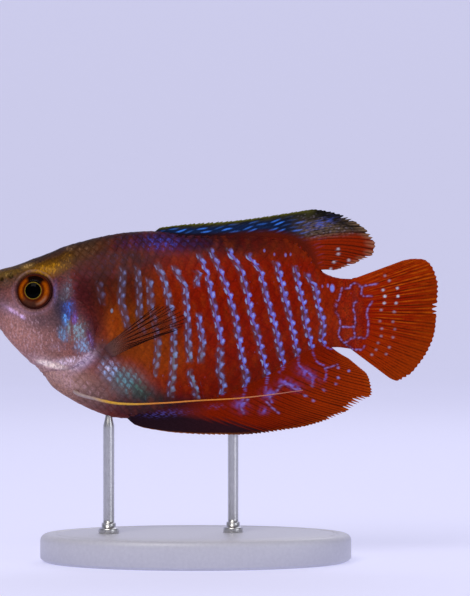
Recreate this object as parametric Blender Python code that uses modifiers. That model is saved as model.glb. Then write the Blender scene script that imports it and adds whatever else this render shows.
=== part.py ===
"""Dwarf gourami, a life-size still model of an adult male on a small display stand.

The fish faces -X with its back up. Lengths are in millimetres until place() turns them into metres: s runs
from the tip of the snout to the tail, h is the height above the body's axis, and y is the distance from the
fish's middle plane. The left side is at -y. The origin is on the floor, below the middle of the fish.
"""

import math

import bmesh
import bpy
import numpy as np
from mathutils import Matrix, Vector

for leftover in list(bpy.data.objects):
    bpy.data.objects.remove(leftover)

MM = 0.001
TOTAL_LENGTH = 75.0
AXIS_HEIGHT = 42.0
GAP = 0.3
SLACK = 0.03
SIDES = (("left", -1), ("right", 1))

# Outline of the body without its fins, as (s, h)
BACK = (
    (0.2, 1.9), (0.4, 2.5), (1.0, 3.3), (2.3, 4.1), (4.5, 5.0), (7.1, 5.7), (9.7, 6.7), (12.2, 7.6),
    (14.8, 8.8), (17.4, 9.5), (19.9, 10.1), (25.1, 11.0), (28.6, 11.2), (31.0, 11.1), (35.1, 10.8),
    (39.9, 10.7), (44.7, 10.7), (49.5, 10.4), (52.3, 9.6), (54.2, 8.1), (55.3, 6.4), (56.2, 4.8),
    (57.6, 4.0), (59.2, 3.6), (61.1, 3.5),
)
BELLY = (
    (0.2, 0.6), (0.6, -0.4), (1.6, -1.7), (2.9, -3.1), (4.5, -4.9), (7.1, -7.9), (8.4, -9.2), (10.1, -10.7),
    (11.7, -12.5), (13.0, -14.1), (14.8, -15.4), (18.9, -17.3), (21.2, -18.2), (23.0, -18.7), (25.1, -18.8),
    (28.6, -18.4), (32.7, -17.7), (36.7, -16.9), (40.7, -15.8), (44.7, -14.4), (47.9, -12.8), (51.1, -10.7),
    (53.6, -9.2), (56.0, -8.2), (58.4, -7.7), (61.1, -8.0),
)
# Half width of each section, the height of its widest point, and the exponents of its curve
HALF_WIDTH = (
    (0.2, 0.8), (0.6, 1.4), (1.6, 2.1), (3.0, 2.7), (4.5, 3.2), (7.0, 3.9), (10.0, 4.5), (13.0, 4.9),
    (17.0, 5.3), (21.0, 5.5), (25.0, 5.6), (31.0, 5.4), (37.0, 5.0), (43.0, 4.3), (48.0, 3.6), (52.0, 2.9),
    (56.0, 2.1), (59.0, 1.4), (61.1, 0.9),
)
WIDEST = (
    (0.0, 1.2), (4.5, 0.0), (10.0, -2.0), (20.0, -4.0), (28.0, -4.2), (40.0, -2.6), (50.0, -1.6),
    (61.1, -2.2),
)
UPPER_SQUARENESS = ((0.0, 2.6), (10.0, 2.4), (20.0, 2.1), (30.0, 2.0), (61.1, 2.0))
LOWER_SQUARENESS = ((0.0, 2.4), (6.0, 2.0), (12.0, 1.8), (20.0, 1.9), (30.0, 2.0), (61.1, 2.0))
FLATNESS = ((0.0, 0.5), (12.0, 0.5), (20.0, 0.55), (30.0, 0.6), (61.1, 0.6))
BODY_STATIONS = 50
BODY_SIDES = 28
SNOUT_CROWDING = (0.45, 1.6)
REACH = 20.0
TRUNK_END = 53.6

# Head: the gill opening's edge from the nape to the throat, and the outline of the gill cover
GILL_LINE = (
    (15.0, 13.0), (15.3, 9.7), (15.8, 6.1), (16.2, 2.9), (16.9, 0.8), (18.7, -0.7), (19.9, -2.9),
    (20.2, -5.6), (19.6, -8.2), (18.0, -9.9), (16.2, -10.8), (14.2, -11.2), (12.3, -11.4), (10.9, -11.9),
    (9.4, -13.6),
)
COVER = (
    (16.6, 0.5), (14.9, 0.2), (14.3, -2.4), (13.9, -5.6), (13.2, -8.4), (12.7, -10.9), (14.2, -11.2),
    (16.2, -10.8), (18.0, -9.9), (19.6, -8.2), (20.2, -5.6), (19.9, -2.9), (18.7, -0.7),
)
COVER_POINTS = 30
COVER_SWELL = 0.4
COVER_DEPTH = 0.55
SWELL_START, SWELL_FULL = 12.5, 18.0
SWELL_TOP, SWELL_UPPER, SWELL_LOWER, SWELL_BOTTOM = 1.0, -2.0, -10.0, -14.0
MOUTH_LINE = ((-1.0, 1.05), (0.0, 1.0), (1.1, 0.5), (2.3, -0.5))
JAW_BACK = ((3.2, -1.9), (4.3, -3.9), (5.2, -7.0))
LIP_RADIUS = 0.45
LIP_REACH = (2.1, 2.3)
LIP_CORNER = 2.55
LIP_TURN = math.radians(82)
LIP_POINTS = 15
EYE_PLACE = (10.2, 1.35)
EYE_RADIUS = 2.9
EYE_DEPTH = 1.6
EYE_SUNK = 0.85
EYE_TURN = math.radians(8)
EYE_LIFT = math.radians(6)
ORBIT_RADIUS = 3.2
ORBIT_RIM = 0.45
ORBIT_SUNK = 0.1
ORBIT_POINTS = (28, 6)
NOSTRILS = ((5.0, 3.3, 0.36), (6.5, 3.8, 0.45))
NOSTRIL_DEPTH = 0.5

# Fins: the margin from front to back as (s, h), the root as a stretch of the body's outline, the number of
# rays, how they spread from even steps along the margin, and how far each bows as a share of its length
DORSAL = {
    "root": (28.9, 56.0),
    "margin": (
        (30.3, 11.7), (32.7, 12.0), (35.3, 12.3), (39.1, 12.6), (42.2, 12.8), (47.4, 13.5), (52.6, 14.3),
        (55.1, 14.6), (56.8, 14.4), (60.0, 13.3), (62.3, 11.8), (63.8, 10.4), (64.2, 9.0), (63.9, 7.2),
        (62.3, 6.3), (60.3, 5.5), (58.4, 5.0),
    ),
    "rays": 22,
    "spread": 1.0,
    "bow": 0.05,
}
ANAL = {
    "root": (24.4, 57.4),
    "margin": (
        (26.2, -19.6), (27.8, -20.1), (30.1, -20.7), (32.7, -21.2), (39.1, -21.7), (42.3, -21.7),
        (46.2, -21.5), (50.0, -21.0), (54.6, -20.1), (58.7, -18.7), (62.6, -16.4), (64.4, -15.0),
        (64.1, -13.3), (63.6, -12.0), (62.3, -10.8), (60.6, -9.4),
    ),
    "rays": 25,
    "spread": 0.72,
    "bow": -0.04,
}
CAUDAL_MARGIN = (
    (72.2, 6.5), (73.6, 5.9), (74.5, 4.4), (75.0, 2.3), (74.9, 0.0), (74.7, -2.8), (74.4, -5.4), (73.5, -7.9),
    (71.8, -10.5), (70.0, -12.3), (68.3, -13.0), (67.2, -12.6),
)
CAUDAL_RAYS = 16
FIN_ROWS = 6
FIN_ROOT_HALF = 0.34
FIN_EDGE_HALF = 0.19
RAY_RIDGE = 0.14
NOTCH = 0.02
TAIL_FIN_INSET = 0.1

PECTORAL_ROOT = ((21.6, -7.1), (22.9, -9.4))
PECTORAL_TIPS = (
    (29.3, -1.1), (30.8, -1.0), (32.5, -1.2), (33.8, -2.0), (34.5, -2.7), (34.2, -3.7), (33.4, -4.6),
    (31.8, -5.2), (29.0, -6.1),
)
PECTORAL_RAYS = 8
PECTORAL_OFF = ((0.0, -0.6), (0.12, 0.55), (0.3, 0.95), (1.0, 1.9))
PECTORAL_HALF = ((0.0, 0.55), (0.25, 0.27), (1.0, 0.16))
PECTORAL_RIDGE = 0.1
PELVIC_PATH = (
    (16.6, -14.6), (17.5, -15.1), (18.7, -15.6), (21.4, -16.4), (23.8, -16.8), (26.2, -16.9), (31.0, -16.7),
    (36.7, -16.3), (42.3, -16.0), (47.9, -15.4), (53.1, -14.7),
)
PELVIC_OUT = (
    (16.6, 2.5), (17.5, 3.4), (18.7, 3.6), (21.4, 3.6), (26.0, 3.7), (36.0, 3.9), (45.0, 3.6), (53.1, 3.1),
)
PELVIC_RADIUS = ((16.6, 0.6), (19.0, 0.45), (26.0, 0.3), (45.0, 0.26), (53.1, 0.14))
PELVIC_SPLIT = 34.0
PELVIC_POINTS = (17, 12)

BASE_LENGTH = 50.0
BASE_WIDTH = 30.0
BASE_THICKNESS = 4.5
BASE_BEVEL = 0.9
BASE_S = 36.0
RODS = (("front", 22.0, 0.0, 0.9), ("rear", 42.0, 1.75, 0.85))
ROD_HIDDEN_TOP = -8.0
SHARP_ANGLE = math.radians(38)

FISH = bpy.data.collections.new("dwarf_gourami")
CUTTERS = bpy.data.collections.new("cutters")


def place(s, h, y=0.0):
    """The point (s, h, y) of the fish, in metres."""
    return Vector(((s - TOTAL_LENGTH / 2) * MM, y * MM, (AXIS_HEIGHT + h) * MM))


def smooth(points):
    """A monotone cubic through (x, value) points, which never overshoots them, as a function of x."""
    x, v = (np.array(column, float) for column in zip(*points))
    step = np.diff(x)
    slope = np.diff(v) / step
    tangent = np.zeros(len(x))
    tangent[0], tangent[-1] = slope[0], slope[-1]
    same_way = slope[1:] * slope[:-1] > 0
    weight_a, weight_b = 2 * step[1:] + step[:-1], step[1:] + 2 * step[:-1]
    with np.errstate(divide="ignore", invalid="ignore"):
        mean = (weight_a + weight_b) / (weight_a / slope[:-1] + weight_b / slope[1:])
    tangent[1:-1] = np.where(same_way, mean, 0.0)

    def value(at):
        at = np.clip(at, x[0], x[-1])
        i = np.clip(np.searchsorted(x, at) - 1, 0, len(step) - 1)
        t = (at - x[i]) / step[i]
        start = v[i] * (1 + 2 * t) * (1 - t) ** 2 + tangent[i] * step[i] * t * (1 - t) ** 2
        end = v[i + 1] * t * t * (3 - 2 * t) + tangent[i + 1] * step[i] * t * t * (t - 1)
        return start + end

    return value


def along(points, shares):
    """Points at the given shares of the length of a smooth line through points of any dimension."""
    points = np.array(points, float)
    lengths = np.linalg.norm(np.diff(points, axis=0), axis=1)
    run = np.concatenate([[0.0], np.cumsum(lengths)]) / lengths.sum()
    return np.stack([smooth(list(zip(run, column)))(np.asarray(shares)) for column in points.T], axis=-1)


back, belly, wide, mid = smooth(BACK), smooth(BELLY), smooth(HALF_WIDTH), smooth(WIDEST)
upper_squareness, lower_squareness = smooth(UPPER_SQUARENESS), smooth(LOWER_SQUARENESS)
flatness = smooth(FLATNESS)


def ramp(value, start, end):
    """Rises evenly from 0 at start to 1 at end, and stays there."""
    return np.clip((value - start) / (end - start), 0.0, 1.0)


def flank(s, h, grow=0.0):
    """Half width of the body at (s, h): w (1 - t^a)^b, where t runs from the widest height to an edge."""
    top, bottom, middle = back(s) + grow, belly(s) - grow, mid(s)
    t = np.where(h > middle, (h - middle) / (top - middle), (middle - h) / (middle - bottom))
    power = np.where(h > middle, upper_squareness(s), lower_squareness(s))
    return (wide(s) + grow) * (1 - np.clip(t, 0.0, 1.0) ** power) ** flatness(s)


def cover_swell(s, h):
    """How far the gill cover stands out at (s, h): it rises backwards from its front edge."""
    rise = ramp(s, SWELL_START, SWELL_FULL)
    window = ramp(h, SWELL_TOP, SWELL_UPPER) * ramp(h, SWELL_BOTTOM, SWELL_LOWER)
    return COVER_SWELL * rise * rise * (3 - 2 * rise) * window


def new_object(name, mesh, skin=None, collection=FISH):
    obj = bpy.data.objects.new(name, mesh)
    collection.objects.link(obj)
    if skin:
        mesh.materials.append(skin)
    if collection is CUTTERS:
        obj.hide_render = True
        obj.display_type = "WIRE"
    return obj


def material(name, colour, roughness, metallic=0.0):
    made = bpy.data.materials.new(name)
    made.use_nodes = True
    shader = made.node_tree.nodes["Principled BSDF"]
    shader.inputs["Base Color"].default_value = (*colour, 1.0)
    shader.inputs["Roughness"].default_value = roughness
    shader.inputs["Metallic"].default_value = metallic
    return made


SCALED_SKIN = material("red scaled skin", (0.36, 0.035, 0.008), 0.35)
HEAD_SKIN = material("mauve head skin", (0.27, 0.14, 0.15), 0.35)
COVER_SKIN = material("silver blue gill cover", (0.22, 0.2, 0.38), 0.3)
FIN_SKIN = material("orange fin membrane", (0.42, 0.07, 0.01), 0.4)
DORSAL_SKIN = material("blue black dorsal membrane", (0.06, 0.09, 0.2), 0.4)
CLEAR_FIN = material("clear brown fin membrane", (0.3, 0.14, 0.08), 0.4)
FILAMENT_SKIN = material("golden filament", (0.75, 0.34, 0.03), 0.4)
EYE_COAT = material("amber eye", (0.35, 0.1, 0.01), 0.1)
STAND_PAINT = material("satin grey paint", (0.62, 0.62, 0.66), 0.4)
ROD_STEEL = material("brushed steel", (0.6, 0.6, 0.62), 0.3, 1.0)


def mesh_from(shape, name):
    """Turns a bmesh into a mesh whose faces point outwards."""
    bmesh.ops.recalc_face_normals(shape, faces=shape.faces)
    mesh = bpy.data.meshes.new(name)
    shape.to_mesh(mesh)
    shape.free()
    return mesh


def body_loft(name, grow=0.0, swollen=False, thin=0.0):
    """The whole body from snout to tail root as a loft of superellipse sections with flat ends.

    grow moves the outline and the sides outwards alike, thin takes the sides inwards alone.
    """
    share = np.linspace(0.0, 1.0, BODY_STATIONS)
    crowding, power = SNOUT_CROWDING
    first, last = BACK[0][0], BACK[-1][0]
    stations = first + (last - first) * (crowding * share**power + (1 - crowding) * share)
    angle = np.linspace(0.0, 2 * math.pi, BODY_SIDES, endpoint=False)
    rise, side = np.sin(angle), np.sign(np.round(np.cos(angle), 9))
    shape = bmesh.new()
    rings = []
    for s in stations:
        top, bottom, middle = back(s) + grow, belly(s) - grow, mid(s)
        h = middle + np.where(rise > 0, top - middle, middle - bottom) * rise
        y = np.maximum(flank(s, h, grow) - thin, SLACK if thin else 0.0)
        if swollen:
            y = y + cover_swell(s, h)
        reach = s + grow if s == last else s
        rings.append([shape.verts.new(place(reach, *point)) for point in zip(h, y * side)])
    for one, two in zip(rings, rings[1:]):
        for j in range(BODY_SIDES):
            k = (j + 1) % BODY_SIDES
            shape.faces.new((one[j], one[k], two[k], two[j]))
    shape.faces.new(rings[0])
    shape.faces.new(rings[-1])
    return new_object(name, mesh_from(shape, name), collection=CUTTERS)


def prism(name, outline, low=-REACH, high=REACH):
    """A closed side-view outline of (s, h) points carried straight along y, from low to high."""
    shape = bmesh.new()
    corners = [shape.verts.new(place(s, h, low)) for s, h in outline]
    face = shape.faces.new(corners)
    swept = bmesh.ops.extrude_face_region(shape, geom=[face])
    moved = [v for v in swept["geom"] if isinstance(v, bmesh.types.BMVert)]
    bmesh.ops.translate(shape, verts=moved, vec=Vector((0, (high - low) * MM, 0)))
    return new_object(name, mesh_from(shape, name), collection=CUTTERS)


def offset_outline(outline, distance):
    """The closed outline moved outwards by a distance, each corner along the mean of its sides' normals."""
    points = np.array(outline, float)
    before, after = np.roll(points, 1, axis=0), np.roll(points, -1, axis=0)
    area = np.sum(points[:, 0] * after[:, 1] - after[:, 0] * points[:, 1])
    turn = 1.0 if area > 0 else -1.0

    def normal(run):
        out = np.stack([run[:, 1], -run[:, 0]], axis=1) * turn
        return out / np.linalg.norm(out, axis=1, keepdims=True)

    one, two = normal(points - before), normal(after - points)
    mean = one + two
    mean /= np.linalg.norm(mean, axis=1, keepdims=True)
    stretch = 1.0 / np.maximum(np.sum(mean * one, axis=1), 0.6)
    return points + mean * (distance * stretch)[:, None]


def apply_boolean(obj, modifier, operation):
    modifier.operation = operation
    modifier.solver = "EXACT"
    depsgraph = bpy.context.evaluated_depsgraph_get()
    mesh = bpy.data.meshes.new_from_object(obj.evaluated_get(depsgraph))
    obj.modifiers.clear()
    obj.data = mesh
    return obj


def combine(obj, other, operation):
    """Applies one Boolean with another object, which stays in the file for later cuts."""
    modifier = obj.modifiers.new("combine", "BOOLEAN")
    modifier.object = other
    return apply_boolean(obj, modifier, operation)


def join(obj, pieces):
    """Joins closed pieces to obj in one union, and removes them."""
    group = bpy.data.collections.new("pieces")
    bpy.context.scene.collection.children.link(group)
    for piece in pieces:
        group.objects.link(piece)
    modifier = obj.modifiers.new("join", "BOOLEAN")
    modifier.operand_type = "COLLECTION"
    modifier.collection = group
    apply_boolean(obj, modifier, "UNION")
    for piece in pieces:
        bpy.data.objects.remove(piece)
    bpy.data.collections.remove(group)
    return obj


def keep_largest(obj):
    """Drops loose scraps that a cut leaves, so that the node is one closed body."""
    shape = bmesh.new()
    shape.from_mesh(obj.data)
    bmesh.ops.remove_doubles(shape, verts=shape.verts, dist=1e-7)
    islands, seen = [], set()
    for seed in shape.verts:
        if seed in seen:
            continue
        island, queue = [], [seed]
        seen.add(seed)
        while queue:
            vertex = queue.pop()
            island.append(vertex)
            for edge in vertex.link_edges:
                other = edge.other_vert(vertex)
                if other not in seen:
                    seen.add(other)
                    queue.append(other)
        islands.append(island)
    islands.sort(key=len, reverse=True)
    bmesh.ops.delete(shape, geom=[v for island in islands[1:] for v in island], context="VERTS")
    bmesh.ops.triangulate(shape, faces=shape.faces)
    shape.to_mesh(obj.data)
    shape.free()
    return obj


def copy_of(obj, name, skin=None):
    mesh = obj.data.copy()
    mesh.name = name
    mesh.materials.clear()
    return new_object(name, mesh, skin, FISH if skin else CUTTERS)


def tube(name, path, radii):
    """A tube along metre points with a radius in millimetres at each, made a closed mesh."""
    curve = bpy.data.curves.new(name, "CURVE")
    curve.dimensions = "3D"
    curve.bevel_depth = MM
    curve.bevel_resolution = 2
    curve.use_fill_caps = True
    spline = curve.splines.new("POLY")
    spline.points.add(len(path) - 1)
    for point, where, radius in zip(spline.points, path, radii):
        point.co = (*where, 1.0)
        point.radius = radius
    holder = new_object(name + "_curve", curve, collection=CUTTERS)
    depsgraph = bpy.context.evaluated_depsgraph_get()
    mesh = bpy.data.meshes.new_from_object(holder.evaluated_get(depsgraph))
    bpy.data.objects.remove(holder)
    shape = bmesh.new()
    shape.from_mesh(mesh)
    bmesh.ops.remove_doubles(shape, verts=shape.verts, dist=1e-6)
    return new_object(name, mesh_from(shape, name), collection=CUTTERS)


def ellipsoid(name, centre, radii, segments, rings, skin=None, tilt=None):
    """A sphere with its poles along y, stretched to the three radii, tilted and set at a point."""
    shape = bmesh.new()
    bmesh.ops.create_uvsphere(shape, u_segments=segments, v_segments=rings, radius=MM)
    stretch = Matrix.Diagonal((*radii, 1.0)) @ Matrix.Rotation(math.pi / 2, 4, "X")
    turned = Matrix.Translation(centre) @ (tilt or Matrix.Identity(4)) @ stretch
    bmesh.ops.transform(shape, matrix=turned, verts=shape.verts)
    return new_object(name, mesh_from(shape, name), skin, FISH if skin else CUTTERS)


def head_outline():
    """The side-view region of the head: everything in front of the gill line."""
    edge = along(GILL_LINE, np.linspace(0.0, 1.0, 26))
    front = -5.0
    return [(front, GILL_LINE[0][1]), *map(tuple, edge), (front, GILL_LINE[-1][1])]


def jaw_outline():
    """The side-view region of the lower jaw, below the mouth line and in front of the throat."""
    return [*MOUTH_LINE, *JAW_BACK, (-1.0, -6.0)]


def lip(name, side):
    """A lip as a tapered tube round the snout, an ellipse in plan that follows the mouth line."""
    mouth = smooth(MOUTH_LINE)
    turn = np.linspace(-LIP_TURN, LIP_TURN, LIP_POINTS)
    s = LIP_CORNER - LIP_REACH[0] * np.cos(turn)
    y = LIP_REACH[1] * np.sin(turn)
    h = mouth(s) + side * (LIP_RADIUS + GAP / 2 + SLACK)
    radii = LIP_RADIUS * (1 + np.cos(turn)) / 2
    return tube(name, [place(*p) for p in zip(s, h, y)], radii)


def orbit(name, side):
    """The fleshy rim round an eye: a ring laid on the side of the head, which it follows."""
    columns, rows = ORBIT_POINTS
    around, across = (np.linspace(0, 2 * math.pi, n, endpoint=False) for n in ORBIT_POINTS)
    reach = ORBIT_RADIUS + ORBIT_RIM * np.cos(across)[None]
    s = EYE_PLACE[0] + reach * np.cos(around)[:, None]
    h = EYE_PLACE[1] + reach * np.sin(around)[:, None]
    y = flank(s, h) - ORBIT_SUNK + ORBIT_RIM * np.sin(across)[None]
    shape = bmesh.new()
    points = zip(s.flat, h.flat, (side * y).flat)
    verts = [shape.verts.new(place(*point)) for point in points]
    loops = [verts[i * rows:(i + 1) * rows] for i in range(columns)]
    for one, two in zip(loops, loops[1:] + loops[:1]):
        for j in range(rows):
            k = (j + 1) % rows
            shape.faces.new((one[j], two[j], two[k], one[k]))
    return new_object(name, mesh_from(shape, name), collection=CUTTERS)


def build_eye(name, side, head):
    """An eye in a socket that leaves a gap round it, tilted forwards and upwards as the head's side is."""
    tilt = Matrix.Rotation(side * EYE_LIFT, 4, "X") @ Matrix.Rotation(side * EYE_TURN, 4, "Z")
    s, h = EYE_PLACE
    centre = place(s, h, side * (float(flank(s, h)) - EYE_SUNK))
    radii = (EYE_RADIUS, EYE_DEPTH, EYE_RADIUS)
    ellipsoid("eye_" + name, centre, radii, 22, 12, EYE_COAT, tilt)
    room = [radius + GAP for radius in radii]
    combine(head, ellipsoid("socket_" + name, centre, room, 24, 12, tilt=tilt), "DIFFERENCE")


def build_covers(head):
    """A gill cover on each side, a flap that lies in a bed cut in the head and stands out behind."""
    core = body_loft("cover_core", thin=COVER_DEPTH)
    bed = body_loft("cover_bed", thin=COVER_DEPTH + GAP)
    region = along((*COVER, COVER[0]), np.linspace(0.0, 1.0, COVER_POINTS + 1))[:-1]
    for name, side in SIDES:
        low, high = sorted((side * COVER_DEPTH, side * REACH))
        cover = copy_of(head, "gill_cover_" + name, COVER_SKIN)
        combine(cover, prism("cover_region_" + name, region, low, high), "INTERSECT")
        keep_largest(combine(cover, core, "DIFFERENCE"))
    room = prism("cover_room", offset_outline(region, GAP))
    combine(head, combine(room, bed, "DIFFERENCE"), "DIFFERENCE")


def build_head(outer):
    """The head with its orbits, upper lip and nostrils, the lower jaw, the gill covers and the eyes."""
    head = combine(copy_of(outer, "head", HEAD_SKIN), prism("head_region", head_outline()), "INTERSECT")
    jaw = combine(copy_of(head, "lower_jaw", HEAD_SKIN), prism("jaw_region", jaw_outline()), "INTERSECT")
    keep_largest(join(jaw, [lip("lower_lip", -1)]))
    combine(head, prism("jaw_room", offset_outline(jaw_outline(), GAP)), "DIFFERENCE")
    build_covers(head)
    join(head, [lip("upper_lip", 1), *(orbit("orbit_" + name, side) for name, side in SIDES)])
    for name, side in SIDES:
        build_eye(name, side, head)
        for index, (s, h, radius) in enumerate(NOSTRILS):
            pit_place = place(s, h, side * float(flank(s, h)))
            pit = ellipsoid(f"nostril_{name}_{index}", pit_place, (radius, NOSTRIL_DEPTH, radius), 8, 6)
            combine(head, pit, "DIFFERENCE")
    keep_largest(head)


def build_trunk_and_tail(plain):
    """The trunk behind the gill line and the tail's root, parted by a thin cut."""
    head_room = prism("head_room", offset_outline(head_outline(), GAP))
    rest = combine(copy_of(plain, "rest"), head_room, "DIFFERENCE")
    room, region = (
        prism(name, ((s, -REACH), (TOTAL_LENGTH, -REACH), (TOTAL_LENGTH, REACH), (s, REACH)))
        for name, s in (("tail_room", TRUNK_END), ("tail_region", TRUNK_END + GAP))
    )
    keep_largest(combine(copy_of(rest, "tail_root", SCALED_SKIN), region, "INTERSECT"))
    keep_largest(combine(copy_of(rest, "trunk", SCALED_SKIN), room, "DIFFERENCE"))


def ray_columns(rays):
    """Shares along a fin for its columns, four to a ray, and how much of the ridge each column has."""
    places, heights = (0.0, 0.36, 0.5, 0.64), (0.0, 0.25, 1.0, 0.25)
    shares = [(ray + where) / rays for ray in range(rays) for where in places]
    return np.array([*shares, 1.0]), np.array([*(heights * rays), 0.0])


def sheet_solid(name, middle, halves, skin):
    """A closed sheet from a grid of middle points and half thicknesses, its two faces alike in triangles."""
    columns, rows = middle.shape[:2]
    offset = np.zeros_like(middle)
    offset[..., 1] = halves
    points = np.concatenate([(middle + offset).reshape(-1, 3), (middle - offset).reshape(-1, 3)])
    other = columns * rows
    faces = []
    for i in range(columns - 1):
        for j in range(rows - 1):
            a, b = i * rows + j, (i + 1) * rows + j
            for face in ((a, b, b + 1), (a, b + 1, a + 1)):
                faces.append(face)
                faces.append(tuple(other + k for k in reversed(face)))
    rim = [i * rows for i in range(columns)]
    rim += [(columns - 1) * rows + j for j in range(1, rows)]
    rim += [i * rows + rows - 1 for i in range(columns - 2, -1, -1)]
    rim += [j for j in range(rows - 2, 0, -1)]
    for a, b in zip(rim, rim[1:] + rim[:1]):
        faces.append((a, a + other, b + other))
        faces.append((a, b + other, b))
    shape = bmesh.new()
    verts = [shape.verts.new(place(s, h, y)) for s, y, h in points]
    for face in faces:
        shape.faces.new([verts[k] for k in face])
    return new_object(name, mesh_from(shape, name), skin)


def ridged(halves, ridge, height, t):
    """Half thicknesses with a ridge added along each ray, half as high at the margin as at the root."""
    return halves[None] + height * ridge[:, None] * (1 - 0.5 * t[None])


def flat_fin(name, roots, tips, ridge, skin, bow):
    """A fin in the fish's middle plane, each column a gently bowed line from its root to its tip.

    The margin draws in a little between rays, and the sheet thins from root to edge.
    """
    t = np.linspace(0.0, 1.0, FIN_ROWS)
    reach = (tips - roots) * (1 - NOTCH * (1 - ridge))[:, None]
    across = np.stack([-reach[:, 1], reach[:, 0]], axis=1)
    line = roots[:, None] + reach[:, None] * t[None, :, None]
    line = line + across[:, None] * (bow * np.sin(math.pi * t))[None, :, None]
    halves = ridged(FIN_ROOT_HALF + (FIN_EDGE_HALF - FIN_ROOT_HALF) * t**3, ridge, RAY_RIDGE, t)
    middle = np.stack([line[..., 0], np.zeros(halves.shape), line[..., 1]], axis=-1)
    return sheet_solid(name, middle, halves, skin)


def outline_root(edge, stretch, shares, outward):
    """Points a gap outside the body's outline, from one s to another, evenly by length."""
    s = np.linspace(*stretch, 80)
    line = np.stack([s, edge(s)], axis=1)
    slope = np.gradient(line[:, 1], line[:, 0])
    normal = np.stack([-slope, np.ones(len(s))], axis=1) * outward
    normal /= np.linalg.norm(normal, axis=1, keepdims=True)
    return along(line + normal * (GAP + SLACK), shares)


def build_middle_fins():
    """The dorsal, anal and tail fins, rooted a gap off the body's outline."""
    for name, fin, edge, outward, skin in (
        ("dorsal_fin", DORSAL, back, 1.0, DORSAL_SKIN),
        ("anal_fin", ANAL, belly, -1.0, FIN_SKIN),
    ):
        shares, ridge = ray_columns(fin["rays"])
        roots = outline_root(edge, fin["root"], shares, outward)
        tips = along(fin["margin"], shares ** fin["spread"])
        flat_fin(name, roots, tips, ridge, skin, fin["bow"])
    shares, ridge = ray_columns(CAUDAL_RAYS)
    s, top, bottom = BACK[-1][0] + GAP, BACK[-1][1] - TAIL_FIN_INSET, BELLY[-1][1] + TAIL_FIN_INSET
    roots = np.stack([np.full(len(shares), s), top + (bottom - top) * shares], axis=1)
    flat_fin("tail_fin", roots, along(CAUDAL_MARGIN, shares), ridge, FIN_SKIN, 0.0)


def build_pectoral(name, side, grown):
    """A pectoral fin that leaves the flank behind the gill cover and stands off it towards its tips."""
    shares, ridge = ray_columns(PECTORAL_RAYS)
    roots, tips = along(PECTORAL_ROOT, shares), along(PECTORAL_TIPS, shares)
    t = np.linspace(0.0, 1.0, FIN_ROWS + 1)
    line = roots[:, None] + (tips - roots)[:, None] * t[None, :, None]
    y = flank(line[..., 0], line[..., 1]) + smooth(PECTORAL_OFF)(t)[None]
    halves = ridged(smooth(PECTORAL_HALF)(t), ridge, PECTORAL_RIDGE, t)
    middle = np.stack([line[..., 0], side * y, line[..., 1]], axis=-1)
    fin = sheet_solid(name, middle, halves, CLEAR_FIN)
    keep_largest(combine(fin, grown, "DIFFERENCE"))


def build_pelvic(name, side, grown):
    """The long thread of a pelvic fin in two lengths, from the chest back along the belly."""
    out, radius, height = smooth(PELVIC_OUT), smooth(PELVIC_RADIUS), smooth(PELVIC_PATH)
    start, end = PELVIC_PATH[0][0], PELVIC_PATH[-1][0]
    lengths = (("root", start, PELVIC_SPLIT - GAP / 2, 1.5), ("tip", PELVIC_SPLIT + GAP / 2, end, 1.0))
    for (part, first, last, crowding), count in zip(lengths, PELVIC_POINTS):
        s = first + (last - first) * np.linspace(0.0, 1.0, count) ** crowding
        path = [place(*p) for p in zip(s, height(s), side * out(s))]
        thread = copy_of(tube(f"{name}_{part}_tube", path, radius(s)), f"{name}_{part}", FILAMENT_SKIN)
        if part == "root":
            combine(thread, grown, "DIFFERENCE")
        keep_largest(thread)


def build_stand(grown):
    """An oval plate and two rods, the front one under the chest and the rear one beside the anal fin."""
    bpy.ops.mesh.primitive_cylinder_add(vertices=48, radius=0.5 * MM, depth=BASE_THICKNESS * MM)
    base = bpy.context.active_object
    base.name = "stand_base"
    for collection in base.users_collection:
        collection.objects.unlink(base)
    FISH.objects.link(base)
    base.data.transform(Matrix.Diagonal((BASE_LENGTH, BASE_WIDTH, 1.0, 1.0)))
    base.data.materials.append(STAND_PAINT)
    base.location = ((BASE_S - TOTAL_LENGTH / 2) * MM, 0.0, BASE_THICKNESS / 2 * MM)
    bevel = base.modifiers.new("rounded edge", "BEVEL")
    bevel.width = BASE_BEVEL * MM
    bevel.segments = 2
    bevel.angle_limit = math.radians(60)

    for name, s, y, radius in RODS:
        foot = BASE_THICKNESS + GAP - AXIS_HEIGHT
        height = ROD_HIDDEN_TOP - foot
        bpy.ops.mesh.primitive_cylinder_add(
            vertices=20, radius=radius * MM, depth=height * MM, location=place(s, foot + height / 2, y)
        )
        rod = bpy.context.active_object
        mesh = rod.data
        mesh.transform(rod.matrix_world)
        bpy.data.objects.remove(rod)
        keep_largest(combine(new_object("stand_rod_" + name, mesh, ROD_STEEL), grown, "DIFFERENCE"))


def main():
    for collection in (FISH, CUTTERS):
        bpy.context.scene.collection.children.link(collection)
    plain = body_loft("plain_body")
    outer = body_loft("body_with_covers", swollen=True)
    grown = body_loft("body_with_room", grow=GAP)
    build_head(outer)
    build_trunk_and_tail(plain)
    build_middle_fins()
    for name, side in SIDES:
        build_pectoral("pectoral_fin_" + name, side, grown)
        build_pelvic("pelvic_fin_" + name, side, grown)
    build_stand(grown)
    for obj in FISH.objects:
        obj.data.shade_smooth()
        obj.data.set_sharp_from_angle(angle=SHARP_ANGLE)


main()
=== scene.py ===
"""Male dwarf gourami in its full colours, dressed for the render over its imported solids.

Lengths are in millimetres until metres() turns them into the frame's: s runs from the tip of the snout to the
tail, h is the height above the body's axis and y is the distance from the fish's middle plane. The left side,
which faces the camera, is at -y. Girth is the distance round a section from its widest height, upwards to the
back and downwards to the belly.
"""

import math

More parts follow.
